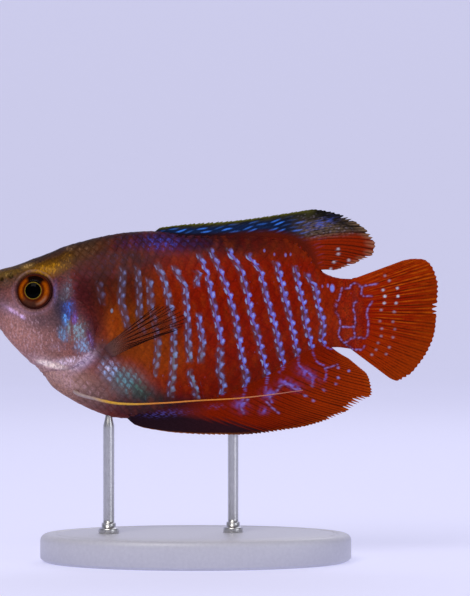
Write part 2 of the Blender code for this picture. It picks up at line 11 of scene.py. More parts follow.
import bpy
import numpy as np
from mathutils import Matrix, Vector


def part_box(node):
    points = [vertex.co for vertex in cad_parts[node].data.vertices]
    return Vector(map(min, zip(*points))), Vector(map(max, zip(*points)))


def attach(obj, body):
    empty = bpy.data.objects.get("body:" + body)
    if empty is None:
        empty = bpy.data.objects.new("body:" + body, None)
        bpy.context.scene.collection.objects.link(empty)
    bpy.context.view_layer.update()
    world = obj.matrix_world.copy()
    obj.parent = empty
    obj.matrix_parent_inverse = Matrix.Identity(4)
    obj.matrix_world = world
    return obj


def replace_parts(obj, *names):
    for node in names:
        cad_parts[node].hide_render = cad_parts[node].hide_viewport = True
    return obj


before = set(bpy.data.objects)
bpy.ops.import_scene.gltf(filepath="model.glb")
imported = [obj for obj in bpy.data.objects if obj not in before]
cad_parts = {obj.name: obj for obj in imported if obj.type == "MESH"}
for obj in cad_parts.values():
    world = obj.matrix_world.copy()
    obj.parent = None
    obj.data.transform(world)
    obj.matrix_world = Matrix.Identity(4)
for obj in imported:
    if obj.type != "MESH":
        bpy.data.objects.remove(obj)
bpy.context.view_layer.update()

MM = 0.001
TOTAL_LENGTH = 75.0
AXIS_HEIGHT = 42.0
SIDES = (("left", -1.0), ("right", 1.0))

# Outline of the body without its fins, as (s, h), and the shape of its sections. They are the solids' own,
# but between s 19 and 28 the belly lies up to 0.35 mm lower. The head's relief ends at its last s
BACK = (
    (0.2, 1.9), (0.4, 2.5), (1.0, 3.3), (2.3, 4.1), (4.5, 5.0), (7.1, 5.7), (9.7, 6.7), (12.2, 7.6),
    (14.8, 8.7), (17.4, 9.45), (19.9, 10.1), (25.1, 11.0), (28.6, 11.2), (31.0, 11.1), (35.1, 10.8),
    (39.9, 10.7), (44.7, 10.7), (49.5, 10.4), (52.3, 9.6), (54.2, 8.1), (55.3, 6.4), (56.2, 4.8),
    (57.6, 4.0), (59.2, 3.6), (61.1, 3.5),
)
BELLY = (
    (0.2, 0.6), (0.6, -0.4), (1.6, -1.7), (2.9, -3.1), (4.5, -4.9), (7.1, -7.9), (8.4, -9.2), (10.1, -10.7),
    (11.7, -12.5), (13.0, -14.1), (14.8, -15.4), (18.9, -17.6), (21.2, -18.5), (23.0, -19.0), (25.1, -19.15),
    (28.6, -18.6), (32.7, -17.7), (36.7, -16.9), (40.7, -15.8), (44.7, -14.4), (47.9, -12.8), (51.1, -10.7),
    (53.6, -9.2), (56.0, -8.2), (58.4, -7.7), (61.1, -8.0),
)
HALF_WIDTH = (
    (0.2, 0.8), (0.6, 1.4), (1.6, 2.1), (3.0, 2.7), (4.5, 3.2), (7.0, 3.9), (10.0, 4.5), (13.0, 4.9),
    (17.0, 5.3), (21.0, 5.5), (25.0, 5.6), (31.0, 5.4), (37.0, 5.0), (43.0, 4.3), (48.0, 3.6), (52.0, 2.9),
    (56.0, 2.1), (59.0, 1.4), (61.1, 0.9),
)
WIDEST = (
    (0.0, 1.2), (4.5, 0.0), (10.0, -2.0), (20.0, -4.0), (28.0, -4.2), (40.0, -2.6), (50.0, -1.6),
    (61.1, -2.2),
)
UPPER_SQUARENESS = ((0.0, 2.6), (10.0, 2.4), (20.0, 2.1), (30.0, 2.0), (61.1, 2.0))
LOWER_SQUARENESS = ((0.0, 2.4), (6.0, 2.0), (12.0, 1.8), (20.0, 1.9), (30.0, 2.0), (61.1, 2.0))
FLATNESS = ((0.0, 0.5), (12.0, 0.5), (20.0, 0.55), (30.0, 0.6), (61.1, 0.6))
FIRST, LAST, HEAD_END = 0.2, 61.1, 24.0

# The skin's mesh: vertices round a ring, stretches of rings as (first s, last s, count), the snout's tip, and
# how rings past the body's end are thinned and drawn in by their distance past it
SKIN_AROUND = 264
SKIN_RINGS = ((FIRST, 22.0, 160), (22.0, 57.6, 96), (57.6, LAST, 44))
SNOUT_HEIGHT, SNOUT_LENGTH = 1.25, 0.2
TAIL_REACH = (0.0, 0.35, 0.7, 1.1, 1.5, 1.9, 2.3)
TAIL_THIN = (1.0, 0.82, 0.64, 0.48, 0.36, 0.27, 0.2)
TAIL_INSET = (0.0, 0.03, 0.08, 0.2, 0.45, 0.9, 1.7)

# Head: its lines as (s, h), the eye, and the nostrils with their radii
GILL_LINE = (
    (15.8, 6.1), (16.2, 2.9), (16.9, 0.8), (18.7, -0.7), (19.9, -2.9), (20.2, -5.6), (19.6, -8.2),
    (18.0, -9.9), (16.2, -10.8), (14.2, -11.2), (12.3, -11.4), (10.9, -11.9), (9.4, -13.6),
)
MOUTH_LINE = ((-1.0, 1.05), (0.0, 1.0), (1.1, 0.5), (2.3, -0.5))
EYE_PLACE = (10.4, 1.35)
EYE_RADIUS, EYE_DEPTH, EYE_SUNK = 2.9, 1.6, 0.85
EYE_TURN, EYE_LIFT = math.radians(8), math.radians(6)
NOSTRILS = ((5.0, 3.3, 0.30), (6.5, 3.8, 0.36))
SKIN_SUNK = 0.12
# Creases and folds of the head, each a line, its width and its height above the skin
CREASES = (
    (((15.0, 0.3), (15.8, -3.0), (15.9, -5.8), (15.0, -8.6), (12.6, -10.3), (9.6, -10.6)), 0.14, -0.12),
    (((14.4, 0.0), (15.2, -3.0), (15.3, -5.7), (14.3, -8.2), (12.2, -9.7), (9.4, -9.9)), 0.35, 0.1),
    (((2.4, -0.6), (3.2, -1.9), (4.3, -3.9), (5.2, -6.2)), 0.16, -0.12),
    (((3.6, 0.9), (5.6, -0.9), (7.6, -2.2), (10.2, -3.0), (12.6, -2.2)), 0.45, 0.12),
    (((5.8, -6.9), (8.4, -9.6), (11.4, -11.6)), 0.14, -0.1),
    (((7.2, -8.9), (9.6, -11.0), (12.0, -12.6)), 0.12, -0.08),
    (((4.4, 3.9), (6.4, 4.6), (8.6, 5.1), (11.0, 5.4), (13.2, 5.0)), 0.4, 0.08),
)

# Stripes: each a line of (s, h) points from its top down, and the stretches of it that are bright as
# (top, bottom, strength)
STRIPES = (
    (((20.6, 3.4), (21.0, 1.6), (21.4, -0.8)), ((2.8, -0.6, 0.14),)),
    (((24.6, 4.7), (24.3, -0.3), (24.7, -1.4), (25.3, -4.2)), ((5.0, -4.6, 0.46),)),
    (((27.0, 4.7), (27.3, -1.1), (27.2, -2.7), (27.8, -5.6)), ((5.0, -2.9, 0.46), (-2.9, -5.4, 0.28))),
    (((28.8, 2.9), (29.0, -1.3), (29.4, -2.7), (30.1, -6.4), (30.1, -9.0), (29.4, -11.6)),
     ((3.2, -1.8, 0.5), (-1.8, -6.6, 0.36), (-6.6, -12.0, 0.6))),
    (((30.1, 5.3), (31.2, 3.1), (31.8, 0.2), (32.3, -2.3), (32.7, -4.8), (32.7, -7.7), (32.5, -11.7),
      (32.0, -14.8)), ((5.6, -15.2, 0.72),)),
    (((32.9, 4.7), (34.6, 1.9), (34.7, -0.3), (34.9, -2.6), (34.9, -6.0), (35.2, -9.3), (35.2, -11.7),
      (36.2, -14.5)), ((5.2, -9.6, 0.85), (-11.3, -15.6, 0.8))),
    (((35.0, 7.0), (35.6, 5.2), (36.8, 4.2), (36.3, 2.8), (36.6, -2.7), (37.3, -6.8), (36.8, -9.3)),
     ((4.4, 2.3, 0.8), (-2.4, -9.7, 0.85))),
    (((36.7, 6.9), (37.6, 5.1), (38.6, 1.1), (39.4, -2.7), (40.2, -6.6), (40.0, -8.8), (39.9, -11.7),
      (40.5, -13.3), (40.2, -15.4)), ((7.2, -6.9, 1.0), (-7.8, -15.8, 0.9))),
    (((38.6, 7.6), (40.2, 4.3), (41.3, 1.1), (42.4, -2.7), (43.0, -6.4), (43.6, -9.7), (44.2, -12.1),
      (43.9, -14.6), (43.4, -16.7)), ((7.9, -17.0, 1.0),)),
    (((41.6, 7.6), (43.4, 4.6), (44.3, 1.1), (45.0, -2.6), (46.1, -6.0), (46.8, -9.2), (47.6, -11.9),
      (47.3, -14.2), (48.3, -16.6)), ((7.9, -16.8, 1.0),)),
    (((44.7, 6.8), (46.5, 4.5), (47.2, 1.1), (48.3, -2.3), (49.1, -5.6), (49.7, -8.7), (50.2, -10.6),
      (49.5, -11.7)), ((7.1, -12.0, 1.0),)),
    (((49.1, 5.6), (49.8, 2.6), (50.6, -0.7), (51.4, -3.8), (52.0, -6.9), (52.4, -8.5), (52.5, -10.3),
      (53.7, -11.4), (54.8, -12.5), (54.7, -13.9)), ((5.9, -14.1, 1.0),)),
    (((52.1, 5.0), (52.6, 2.1), (53.4, -1.1), (53.7, -4.0), (54.5, -6.6), (55.0, -9.0), (55.7, -10.1),
      (56.7, -10.6), (57.0, -11.9), (56.7, -13.0)), ((5.2, -13.2, 1.0),)),
    (((54.0, 3.7), (55.3, 1.9), (55.7, -1.0), (56.5, -3.8), (56.3, -6.4), (57.0, -7.6), (58.6, -8.0)),
     ((4.0, -8.2, 0.95),)),
)
# How a stripe leans past its top and its bottom, the count from one stripe to the next, how the count runs
# close to a stripe, as (distance in s, count from the stripe), and the count past which no dash shows
STRIPE_LEAN = (-0.3, -0.12)
STRIPE_PERIOD = 4.0
STRIPE_NEAR = ((-0.8, -1.2), (0.0, 0.0), (0.6, 0.9))
STRIPE_END = (len(STRIPES) - 1) * STRIPE_PERIOD + 2

# Scales: which stripes the columns of scales follow, with the count of columns up to each, the step past the
# first and the last, the s where scales end, the height that rows are counted from, and a row's height by s
COLUMN_STRIPES = (0, 1, 2, 4, 5, 7, 8, 9, 10, 11, 12, 13)
COLUMN_COUNTS = (0, 6, 10, 16, 20, 26, 30, 34, 38, 42, 46, 50)
COLUMN_STEP = (0.667, 0.54)
SCALES_END = 58.4
ROW_LINE = 2.57
ROW_HEIGHT = ((16.0, 1.75), (36.0, 1.9), (41.6, 1.83), (47.0, 1.67), (53.2, 1.51), (58.0, 1.3), (61.5, 1.1))
# A plate's length in columns and half width in rows, the share of it ahead of its centre, how much its free
# edge is rounded and its root narrowed, its points along and across, and its heights above the skin. Then the
# head's columns and rows, how far round the body plates go, and a patch's size and the girths on the bake map
PLATE_LENGTH, PLATE_HALF = 3.0, 0.56
PLATE_AHEAD, PLATE_ROUNDING, PLATE_NARROWING = 0.6, 0.34, 0.1
PLATE_GRID = (5, 7)
PLATE_ROOT, PLATE_LIFT, PLATE_DOME, PLATE_THICKNESS = -0.06, 0.06, 0.035, 0.035
HEAD_LATTICE = (0.44, 0.95)
SCALE_TURN = math.radians(87)
BAKE_PATCH, BAKE_FROM, BAKE_SPAN = 0.003, 30, 122

# Blue lines on the tail's root and fins, as (s, h), the lone spots, with a radius on the body, and the anal
# fin's patches as (centre, size, turn)
NETWORK = (
    ((59.5, 1.9), (58.9, 0.0), (58.4, -1.4), (59.0, -2.9), (59.2, -4.2), (58.9, -5.5), (59.7, -6.8),
     (60.6, -7.4)),
    ((60.0, 1.9), (60.6, 1.8), (60.9, 2.4), (61.8, 2.7), (62.6, 2.1), (63.0, 2.3), (64.2, 2.4), (65.3, 2.7)),
    ((61.9, -0.2), (61.4, -0.5), (61.3, -1.4), (61.6, -2.4), (61.6, -3.7), (61.4, -4.7), (61.6, -5.8),
     (60.6, -6.4), (60.0, -6.9)),
    ((59.5, -4.3), (61.4, -4.3)),
    ((61.6, -6.0), (63.2, -6.1), (63.7, -5.3), (63.7, -3.5), (63.5, -2.4), (63.7, -1.3), (64.3, -0.3)),
    ((60.6, -7.4), (61.4, -8.0), (62.4, -8.0), (63.2, -7.4)),
    ((62.7, 2.1), (62.6, 1.0), (63.2, 0.6), (64.3, 0.6)),
)
ANAL_LINES = (
    ((49.4, -13.9), (51.0, -13.5), (51.8, -14.3), (52.8, -14.3)),
    ((44.4, -16.0), (43.3, -17.2), (43.8, -18.4)),
    ((47.4, -16.4), (48.6, -17.6), (49.4, -18.2)),
    ((47.8, -15.8), (49.0, -14.6), (49.6, -14.0)),
    ((56.8, -11.0), (57.9, -10.7), (58.8, -10.4)),
)
BODY_SPOTS = (
    (57.9, 1.9, 0.38), (57.2, 2.3, 0.2), (56.3, 2.2, 0.16), (47.0, 7.9, 0.18), (48.6, 7.3, 0.16),
    (50.4, 7.2, 0.2), (51.2, 7.3, 0.16), (22.75, -1.7, 0.22),
)
TAIL_SPOTS = (
    (66.4, 3.9), (67.1, 3.1), (66.1, 1.6), (68.4, 1.9), (66.4, 0.6), (68.5, 0.6), (66.3, -0.5), (68.2, -0.5),
    (65.8, -1.6), (67.9, -1.9), (65.6, -3.4), (67.7, -3.5), (65.9, -4.6), (68.0, -4.7), (65.8, -5.8),
    (67.7, -6.0), (65.3, -6.9), (67.1, -7.6), (65.0, -8.0), (66.6, -8.7), (64.3, -8.8),
)
ANAL_SPOTS = (
    (58.9, -10.9), (58.9, -12.5), (58.5, -13.5), (56.6, -14.5), (53.6, -15.4), (54.9, -16.2), (54.7, -13.8),
    (60.6, -11.4),
)
ANAL_PATCHES = (
    ((43.2, -16.9), (0.8, 0.7), -30), ((53.9, -11.9), (1.2, 0.55), -30), ((47.8, -15.0), (0.8, 0.6), 20),
    ((51.7, -13.9), (0.9, 0.45), -20), ((50.2, -13.1), (0.7, 0.4), 0), ((46.9, -17.8), (0.5, 0.4), 0),
)
DORSAL_SPOTS = ((58.9, 8.2), (58.9, 7.4), (58.2, 6.1), (57.7, 5.0), (60.6, 6.4))

# Fins: the root as a stretch of the body's outline in s, the margin, the number of rays, how their tips crowd
# behind, the mesh's steps across a ray and rows along it, how a ray bows, where it parts and how far, the
# root's thickness in shares of the body's, its fillet's length, how far the membrane falls short of the rays,
# in front and how much more behind, and nicks in it as (share along the fin, depth)
DORSAL = {
    "root": (28.9, 56.0),
    "margin": (
        (30.3, 11.7), (32.7, 12.0), (35.3, 12.3), (39.1, 12.6), (42.2, 12.8), (47.4, 13.5), (52.6, 14.3),
        (55.1, 14.6), (56.8, 14.4), (60.4, 13.4), (62.6, 12.0), (64.1, 10.6), (64.9, 8.9), (64.5, 7.3),
        (62.5, 6.3), (60.3, 5.3), (58.4, 4.8),
    ),
    "rays": 30, "spread": 1.0, "steps": 10, "rows": 48, "bow": 0.05, "branch": (0.62, 0.2),
    "thick": 0.93, "fillet": 2.4, "short": (0.08, -0.06),
    "nicks": ((0.66, 0.05), (0.76, 0.04), (0.87, 0.06), (0.92, 0.05), (0.95, 0.07)),
}
ANAL = {
    "root": (24.4, 57.4),
    "margin": (
        (26.2, -20.1), (27.8, -20.6), (30.1, -21.0), (32.7, -21.35), (39.1, -21.7), (42.3, -21.7),
        (46.2, -21.5), (50.0, -21.0), (54.6, -20.1), (58.7, -18.7), (62.6, -16.4), (64.4, -15.0),
        (64.1, -13.3), (63.6, -12.0), (62.3, -10.8), (60.6, -9.4),
    ),
    "rays": 34, "spread": 0.72, "steps": 10, "rows": 60, "bow": -0.04, "branch": (0.5, 0.22),
    "thick": 0.93, "fillet": 2.4, "short": (0.03, -0.012),
    "nicks": ((0.6, 0.03), (0.69, 0.08), (0.735, 0.09)),
}
CAUDAL = {
    "margin": (
        (69.4, 6.4), (71.0, 6.65), (72.4, 6.6), (73.6, 5.95), (74.5, 4.4), (75.0, 2.3), (74.9, 0.0),
        (74.7, -2.8), (74.4, -5.4), (73.5, -7.9), (71.8, -10.5), (70.0, -12.3), (68.3, -13.0), (67.2, -12.6),
    ),
    "rays": 17, "spread": 1.0, "steps": 12, "rows": 90, "bow": 0.0, "branch": (0.3, 0.25),
    "thick": 0.3, "fillet": 2.0, "short": (0.012, 0.0),
    "nicks": ((0.4, 0.05), (0.49, 0.07), (0.87, 0.02)),
}
# Half the thickness of a fin's membrane, of its swelling at the root and of its rays, and its root's depth
FIN_EDGE_HALF, FIN_ROOT_HALF, FIN_RAY_HALF, FIN_SUNK = 0.07, 0.16, 0.075, 0.8
# Pectoral fins: the line of the root, that of the tips, and the distance off the flank along a ray. Pelvic
# fins: the thread's path as (s, h), and by s its distance from the middle plane and its radius
PECTORAL_ROOT = ((21.6, -7.4), (22.6, -9.2))
PECTORAL_TIPS = (
    (29.3, -1.1), (30.8, -1.0), (32.5, -1.2), (33.8, -2.0), (34.5, -2.7), (34.2, -3.7), (33.4, -4.6),
    (31.8, -5.2), (29.0, -6.1),
)
PECTORAL_OFF = ((0.0, -0.3), (0.1, 0.02), (0.25, 0.55), (0.45, 1.0), (1.0, 1.9))
PECTORAL_RAYS = 9
PELVIC_PATH = (
    (16.6, -14.6), (17.5, -15.1), (18.7, -15.6), (21.4, -16.4), (23.8, -16.8), (26.2, -16.9), (31.0, -16.7),
    (36.7, -16.3), (42.3, -16.0), (47.9, -15.4), (53.1, -14.7),
)
PELVIC_OUT = (
    (16.6, 2.5), (17.5, 3.4), (18.7, 3.6), (21.4, 3.6), (26.0, 3.7), (36.0, 3.9), (45.0, 3.6), (53.1, 3.1),
)
PELVIC_RADIUS = ((16.6, 0.3), (19.0, 0.26), (24.0, 0.2), (30.0, 0.14), (42.0, 0.11), (53.1, 0.05))

# The stand: how far down its base's edge is rounded, the groove in its top as (share of its size, depth), and
# the rods as (name, s, y, radius)
BASE_EDGE = 1.1
BASE_GROOVE = (
    (0.93, 0.0), (0.922, 0.06), (0.915, 0.22), (0.9, 0.22), (0.893, 0.06), (0.885, 0.0), (0.6, 0.0),
    (0.25, 0.0),
)
RODS = (("front", 22.0, 0.0, 0.9), ("rear", 42.0, 1.75, 0.85))

# Studio, in metres: the lights as (name, place, power, colour), the place they face, and the camera
LIGHTS = (
    ("key_light", (-0.18, -0.40, 0.46), 1.9, (1.0, 0.96, 0.9)),
    ("fill_light", (0.40, -0.34, 0.16), 0.5, (0.92, 0.94, 1.0)),
    ("rim_light", (0.1, 0.34, 0.42), 0.6, (0.95, 0.96, 1.0)),
)
LIGHT_SIZE, LIT_PLACE = 0.3, (0.0, 0.0, 0.04)
CAMERA_X, CAMERA_Z, CAMERA_DISTANCE = 0.0048, 0.04232, 0.40
SENSOR = 36.0
# The photo's height and a pixel's size in it, from the fish's length in pixels
PHOTO_HEIGHT, PIXEL = 596, TOTAL_LENGTH / 466.3


def metres(points):
    """Points (s, h, y) of the fish, in millimetres, as x, y, z in metres."""
    s, h, y = np.moveaxis(np.asarray(points, float), -1, 0)
    return np.stack([s - TOTAL_LENGTH / 2, y, AXIS_HEIGHT + h], axis=-1) * MM


def smooth(points):
    """A monotone cubic through (x, value) points, which never overshoots them, as a function of x."""
    x, v = (np.array(column, float) for column in zip(*points))
    step = np.diff(x)
    slope = np.diff(v) / step
    tangent = np.zeros(len(x))
    tangent[0], tangent[-1] = slope[0], slope[-1]
    same_way = slope[1:] * slope[:-1] > 0
    weight_a, weight_b = 2 * step[1:] + step[:-1], step[1:] + 2 * step[:-1]
    with np.errstate(divide="ignore", invalid="ignore"):
        mean = (weight_a + weight_b) / (weight_a / slope[:-1] + weight_b / slope[1:])
    tangent[1:-1] = np.where(same_way, mean, 0.0)

    def value(at):
        at = np.clip(at, x[0], x[-1])
        i = np.clip(np.searchsorted(x, at) - 1, 0, len(step) - 1)
        t = (at - x[i]) / step[i]
        start = v[i] * (1 + 2 * t) * (1 - t) ** 2 + tangent[i] * step[i] * t * (1 - t) ** 2
        end = v[i + 1] * t * t * (3 - 2 * t) + tangent[i + 1] * step[i] * t * t * (t - 1)
        return start + end

    return value


def along(points, shares):
    """Points at the given shares of the length of a smooth line through points of any dimension."""
    points = np.array(points, float)
    lengths = np.linalg.norm(np.diff(points, axis=0), axis=1)
    run = np.concatenate([[0.0], np.cumsum(lengths)]) / lengths.sum()
    return np.stack([smooth(list(zip(run, column)))(np.asarray(shares)) for column in points.T], axis=-1)


def ramp(value, start, end):
    """Rises evenly from 0 at start to 1 at end, and stays there."""
    return np.clip((value - start) / (end - start), 0.0, 1.0)


def ease(value, start, end):
    """Rises from 0 at start to 1 at end as 3t^2 - 2t^3."""
    t = ramp(value, start, end)
    return t * t * (3 - 2 * t)


back, belly, wide, mid = smooth(BACK), smooth(BELLY), smooth(HALF_WIDTH), smooth(WIDEST)
upper_squareness, lower_squareness = smooth(UPPER_SQUARENESS), smooth(LOWER_SQUARENESS)
flatness, row_height = smooth(FLATNESS), smooth(ROW_HEIGHT)


def hump(value, centre, width):
    """A smooth hump, 1 at its centre: exp(-((value - centre)/width)^2)."""
    return np.exp(-((value - centre) / width) ** 2)


def away(s, h, place):
    """Distance of each (s, h) from one place."""
    return np.hypot(s - place[0], h - place[1])


def flank(s, h, grow=0.0):
    """Half width of the body at (s, h): w (1 - t^a)^b, where t runs from the widest height to an edge."""
    top, bottom, middle = back(s) + grow, belly(s) - grow, mid(s)
    t = np.where(h > middle, (h - middle) / (top - middle), (middle - h) / (middle - bottom))
    power = np.where(h > middle, upper_squareness(s), lower_squareness(s))
    return (wide(s) + grow) * (1 - np.clip(t, 0.0, 1.0) ** power) ** flatness(s)


def section(s, turn):
    """Height and half width of the skin's section, a little inside the solids' face.

    The height leaves the widest place as sin(turn), and the half width is the flank's there. Past a quarter
    turn it comes down the other side, where the half width is below zero.
    """
    top, bottom, middle = back(s) - SKIN_SUNK, belly(s) + SKIN_SUNK, mid(s)
    rise = np.sin(turn)
    h = middle + np.where(rise > 0, top - middle, middle - bottom) * rise
    return h, flank(s, h, -SKIN_SUNK) * np.sign(np.round(np.cos(turn), 9))


def lookup(table, rows, columns, r, c):
    """Value of a table at (r, c), straight between its nearest rows and columns."""
    i = (np.clip(r, rows[0], rows[-1]) - rows[0]) / (rows[1] - rows[0])
    j = (np.clip(c, columns[0], columns[-1]) - columns[0]) / (columns[1] - columns[0])
    a, b = (np.minimum(k.astype(int), n - 2) for k, n in ((i, len(rows)), (j, len(columns))))
    i, j = i - a, j - b
    top = table[a, b] * (1 - j) + table[a, b + 1] * j
    return top * (1 - i) + (table[a + 1, b] * (1 - j) + table[a + 1, b + 1] * j) * i


TABLE_S = np.linspace(FIRST, LAST, 420)
TABLE_TURN = np.radians(np.linspace(-130, 130, 1041))
TABLE_GIRTH = np.linspace(-27, 27, 1081)


def girth_tables():
    """Girth from the widest height at each s and turn, and the turn at each s and girth."""
    h, y = section(TABLE_S[:, None], TABLE_TURN[None])
    step = np.hypot(np.diff(h, axis=1), np.diff(y, axis=1))
    run = np.concatenate([np.zeros((len(TABLE_S), 1)), np.cumsum(step, axis=1)], axis=1)
    run -= run[:, len(TABLE_TURN) // 2][:, None]
    return run, np.array([np.interp(TABLE_GIRTH, row, TABLE_TURN) for row in run])


GIRTH, TURN = girth_tables()


def girth_at(s, turn):
    """Girth of the point of the section at s that a turn leads to."""
    return lookup(GIRTH, TABLE_S, TABLE_TURN, s, turn)


def turn_at(s, girth):
    """The turn that leads to a girth of the section at s."""
    return lookup(TURN, TABLE_S, TABLE_GIRTH, s, girth)


def row_line_girth(s):
    """Girth of the line along the body at the height that the rows of scales are counted from."""
    turn = np.arcsin(np.clip((ROW_LINE - mid(s)) / (back(s) - SKIN_SUNK - mid(s)), -1, 1))
    return girth_at(s, turn)


def line_distance(points, s, h, count):
    """Distance of each (s, h) from a smooth line, drawn in a count of points, and which side of it.

    The side is above zero on the line's left.
    """
    line = along(points, np.linspace(0, 1, count)) if len(points) > 2 else np.array(points, float)
    best = np.full(np.shape(s), 1e9)
    side = np.zeros(np.shape(s))
    for (s0, h0), (s1, h1) in zip(line, line[1:]):
        ds, dh = s1 - s0, h1 - h0
        t = np.clip(((s - s0) * ds + (h - h0) * dh) / (ds * ds + dh * dh), 0, 1)
        gap = np.hypot(s - s0 - t * ds, h - h0 - t * dh)
        nearer = gap < best
        best = np.where(nearer, gap, best)
        side = np.where(nearer, ds * (h - h0) - dh * (s - s0), side)
    return best, side


def before_gill(s, h):
    """Distance in front of the gill opening's edge, below zero behind it."""
    gap, side = line_distance(GILL_LINE, s, h, 60)
    return np.where(side < 0, gap, -gap)


def relief(s, h):
    """How far the skin stands out from the plain body: gill cover, eye's rim, nostrils, lips and creases."""
    near = s < HEAD_END
    out = np.zeros(np.shape(s))
    s, h = s[near], h[near]
    front = before_gill(s, h)
    rise = 0.4 * ease(s, 12.5, 18.0) * ramp(h, 1.0, -2.0) * ramp(h, -14.0, -10.0) * ease(front, -0.05, 0.3)
    rise -= 0.2 * hump(front, -0.08, 0.16) * ramp(h, 1.6, 0.0)
    reach = away(s, h, EYE_PLACE)
    rise += 0.34 * hump(reach, 3.2, 0.3) - 0.62 * ramp(reach, 3.05, 2.75)
    for *place, radius in NOSTRILS:
        reach = away(s, h, place)
        rise += 0.12 * hump(reach - radius, 0.12, 0.12) - 0.5 * np.exp(-(reach / radius) ** 4)
    mouth = h - smooth(MOUTH_LINE)(s)
    rise += 0.3 * ease(s, 2.7, 1.2) * (hump(mouth, 0.5, 0.34) + hump(mouth, -0.5, 0.34))
    rise -= 0.45 * ease(s, 3.0, 2.2) * hump(mouth, 0.0, 0.1)
    for points, width, height in CREASES:
        gap, _ = line_distance(points, s, h, 24)
        rise += height * hump(gap, 0.0, width)
    out[near] = rise + 0.02 * np.sin(s * 2.3 + h * 1.1) * np.sin(h * 1.9 - s * 0.7)
    return out


def on_body(s, turn):
    """Points of the bare skin's surface at each s and turn."""
    return np.stack([s, *section(s, turn)], axis=-1)


def body_with_normal(s, turn):
    """Points of the bare skin's surface, and the outward directions there from steps along s and turn."""
    here = on_body(s, turn)
    ahead = on_body(np.minimum(s + 0.06, LAST), turn) - on_body(s - 0.06, turn)
    around = on_body(s, turn + 0.02) - on_body(s, turn - 0.02)
    out = np.cross(ahead, around)
    axis = np.stack([s, np.clip(here[..., 1], belly(s) + 1.5, back(s) - 1.5), np.zeros(np.shape(s))], axis=-1)
    out *= np.sign(np.sum(out * (here - axis), axis=-1, keepdims=True))
    return here, out / np.maximum(np.linalg.norm(out, axis=-1, keepdims=True), 1e-9)


# Colour and markings

def linear(hex_colour):
    """A linear colour from an sRGB hex value: c/12.92 in the darks, else ((c + 0.055)/1.055)^2.4."""
    c = np.array([int(hex_colour[i:i + 2], 16) for i in (1, 3, 5)]) / 255
    return np.where(c <= 0.04045, c / 12.92, ((c + 0.055) / 1.055) ** 2.4)


def plain(hex_colour, like):
    """One colour at every place of an array."""
    return np.broadcast_to(linear(hex_colour), (*np.shape(like), 3))


def paint(tint, *layers):
    """Lays (mask, colour) layers over the tint in turn, each as strongly as its mask, from 0 to 1, says."""
    for mask, hex_colour in layers:
        mask = np.clip(mask, 0, 1)[..., None]
        tint = tint * (1 - mask) + linear(hex_colour) * mask
    return tint


def cloud(s, h, centre, size, turn=0.0, edge=1.0):
    """A soft patch: exp(-r^2e), where r is the distance from its centre in its own two sizes."""
    ds, dh = s - centre[0], h - centre[1]
    c, n = math.cos(math.radians(turn)), math.sin(math.radians(turn))
    r = np.hypot((ds * c + dh * n) / size[0], (dh * c - ds * n) / size[1])
    return np.exp(-r ** (2 * edge))


def mottle(s, h, scale, seed):
    """Even blotches between -1 and 1: a sum of sine waves in turned directions."""
    total = 0.0
    for k in range(5):
        way = seed * 1.7 + k * 2.4
        a, b = math.cos(way) / scale, math.sin(way) / scale
        total = total + np.sin((s * a + h * b) * (1 + 0.37 * k) + 1.3 * np.sin((s * b - h * a) * 0.7 + k))
    return total / 5


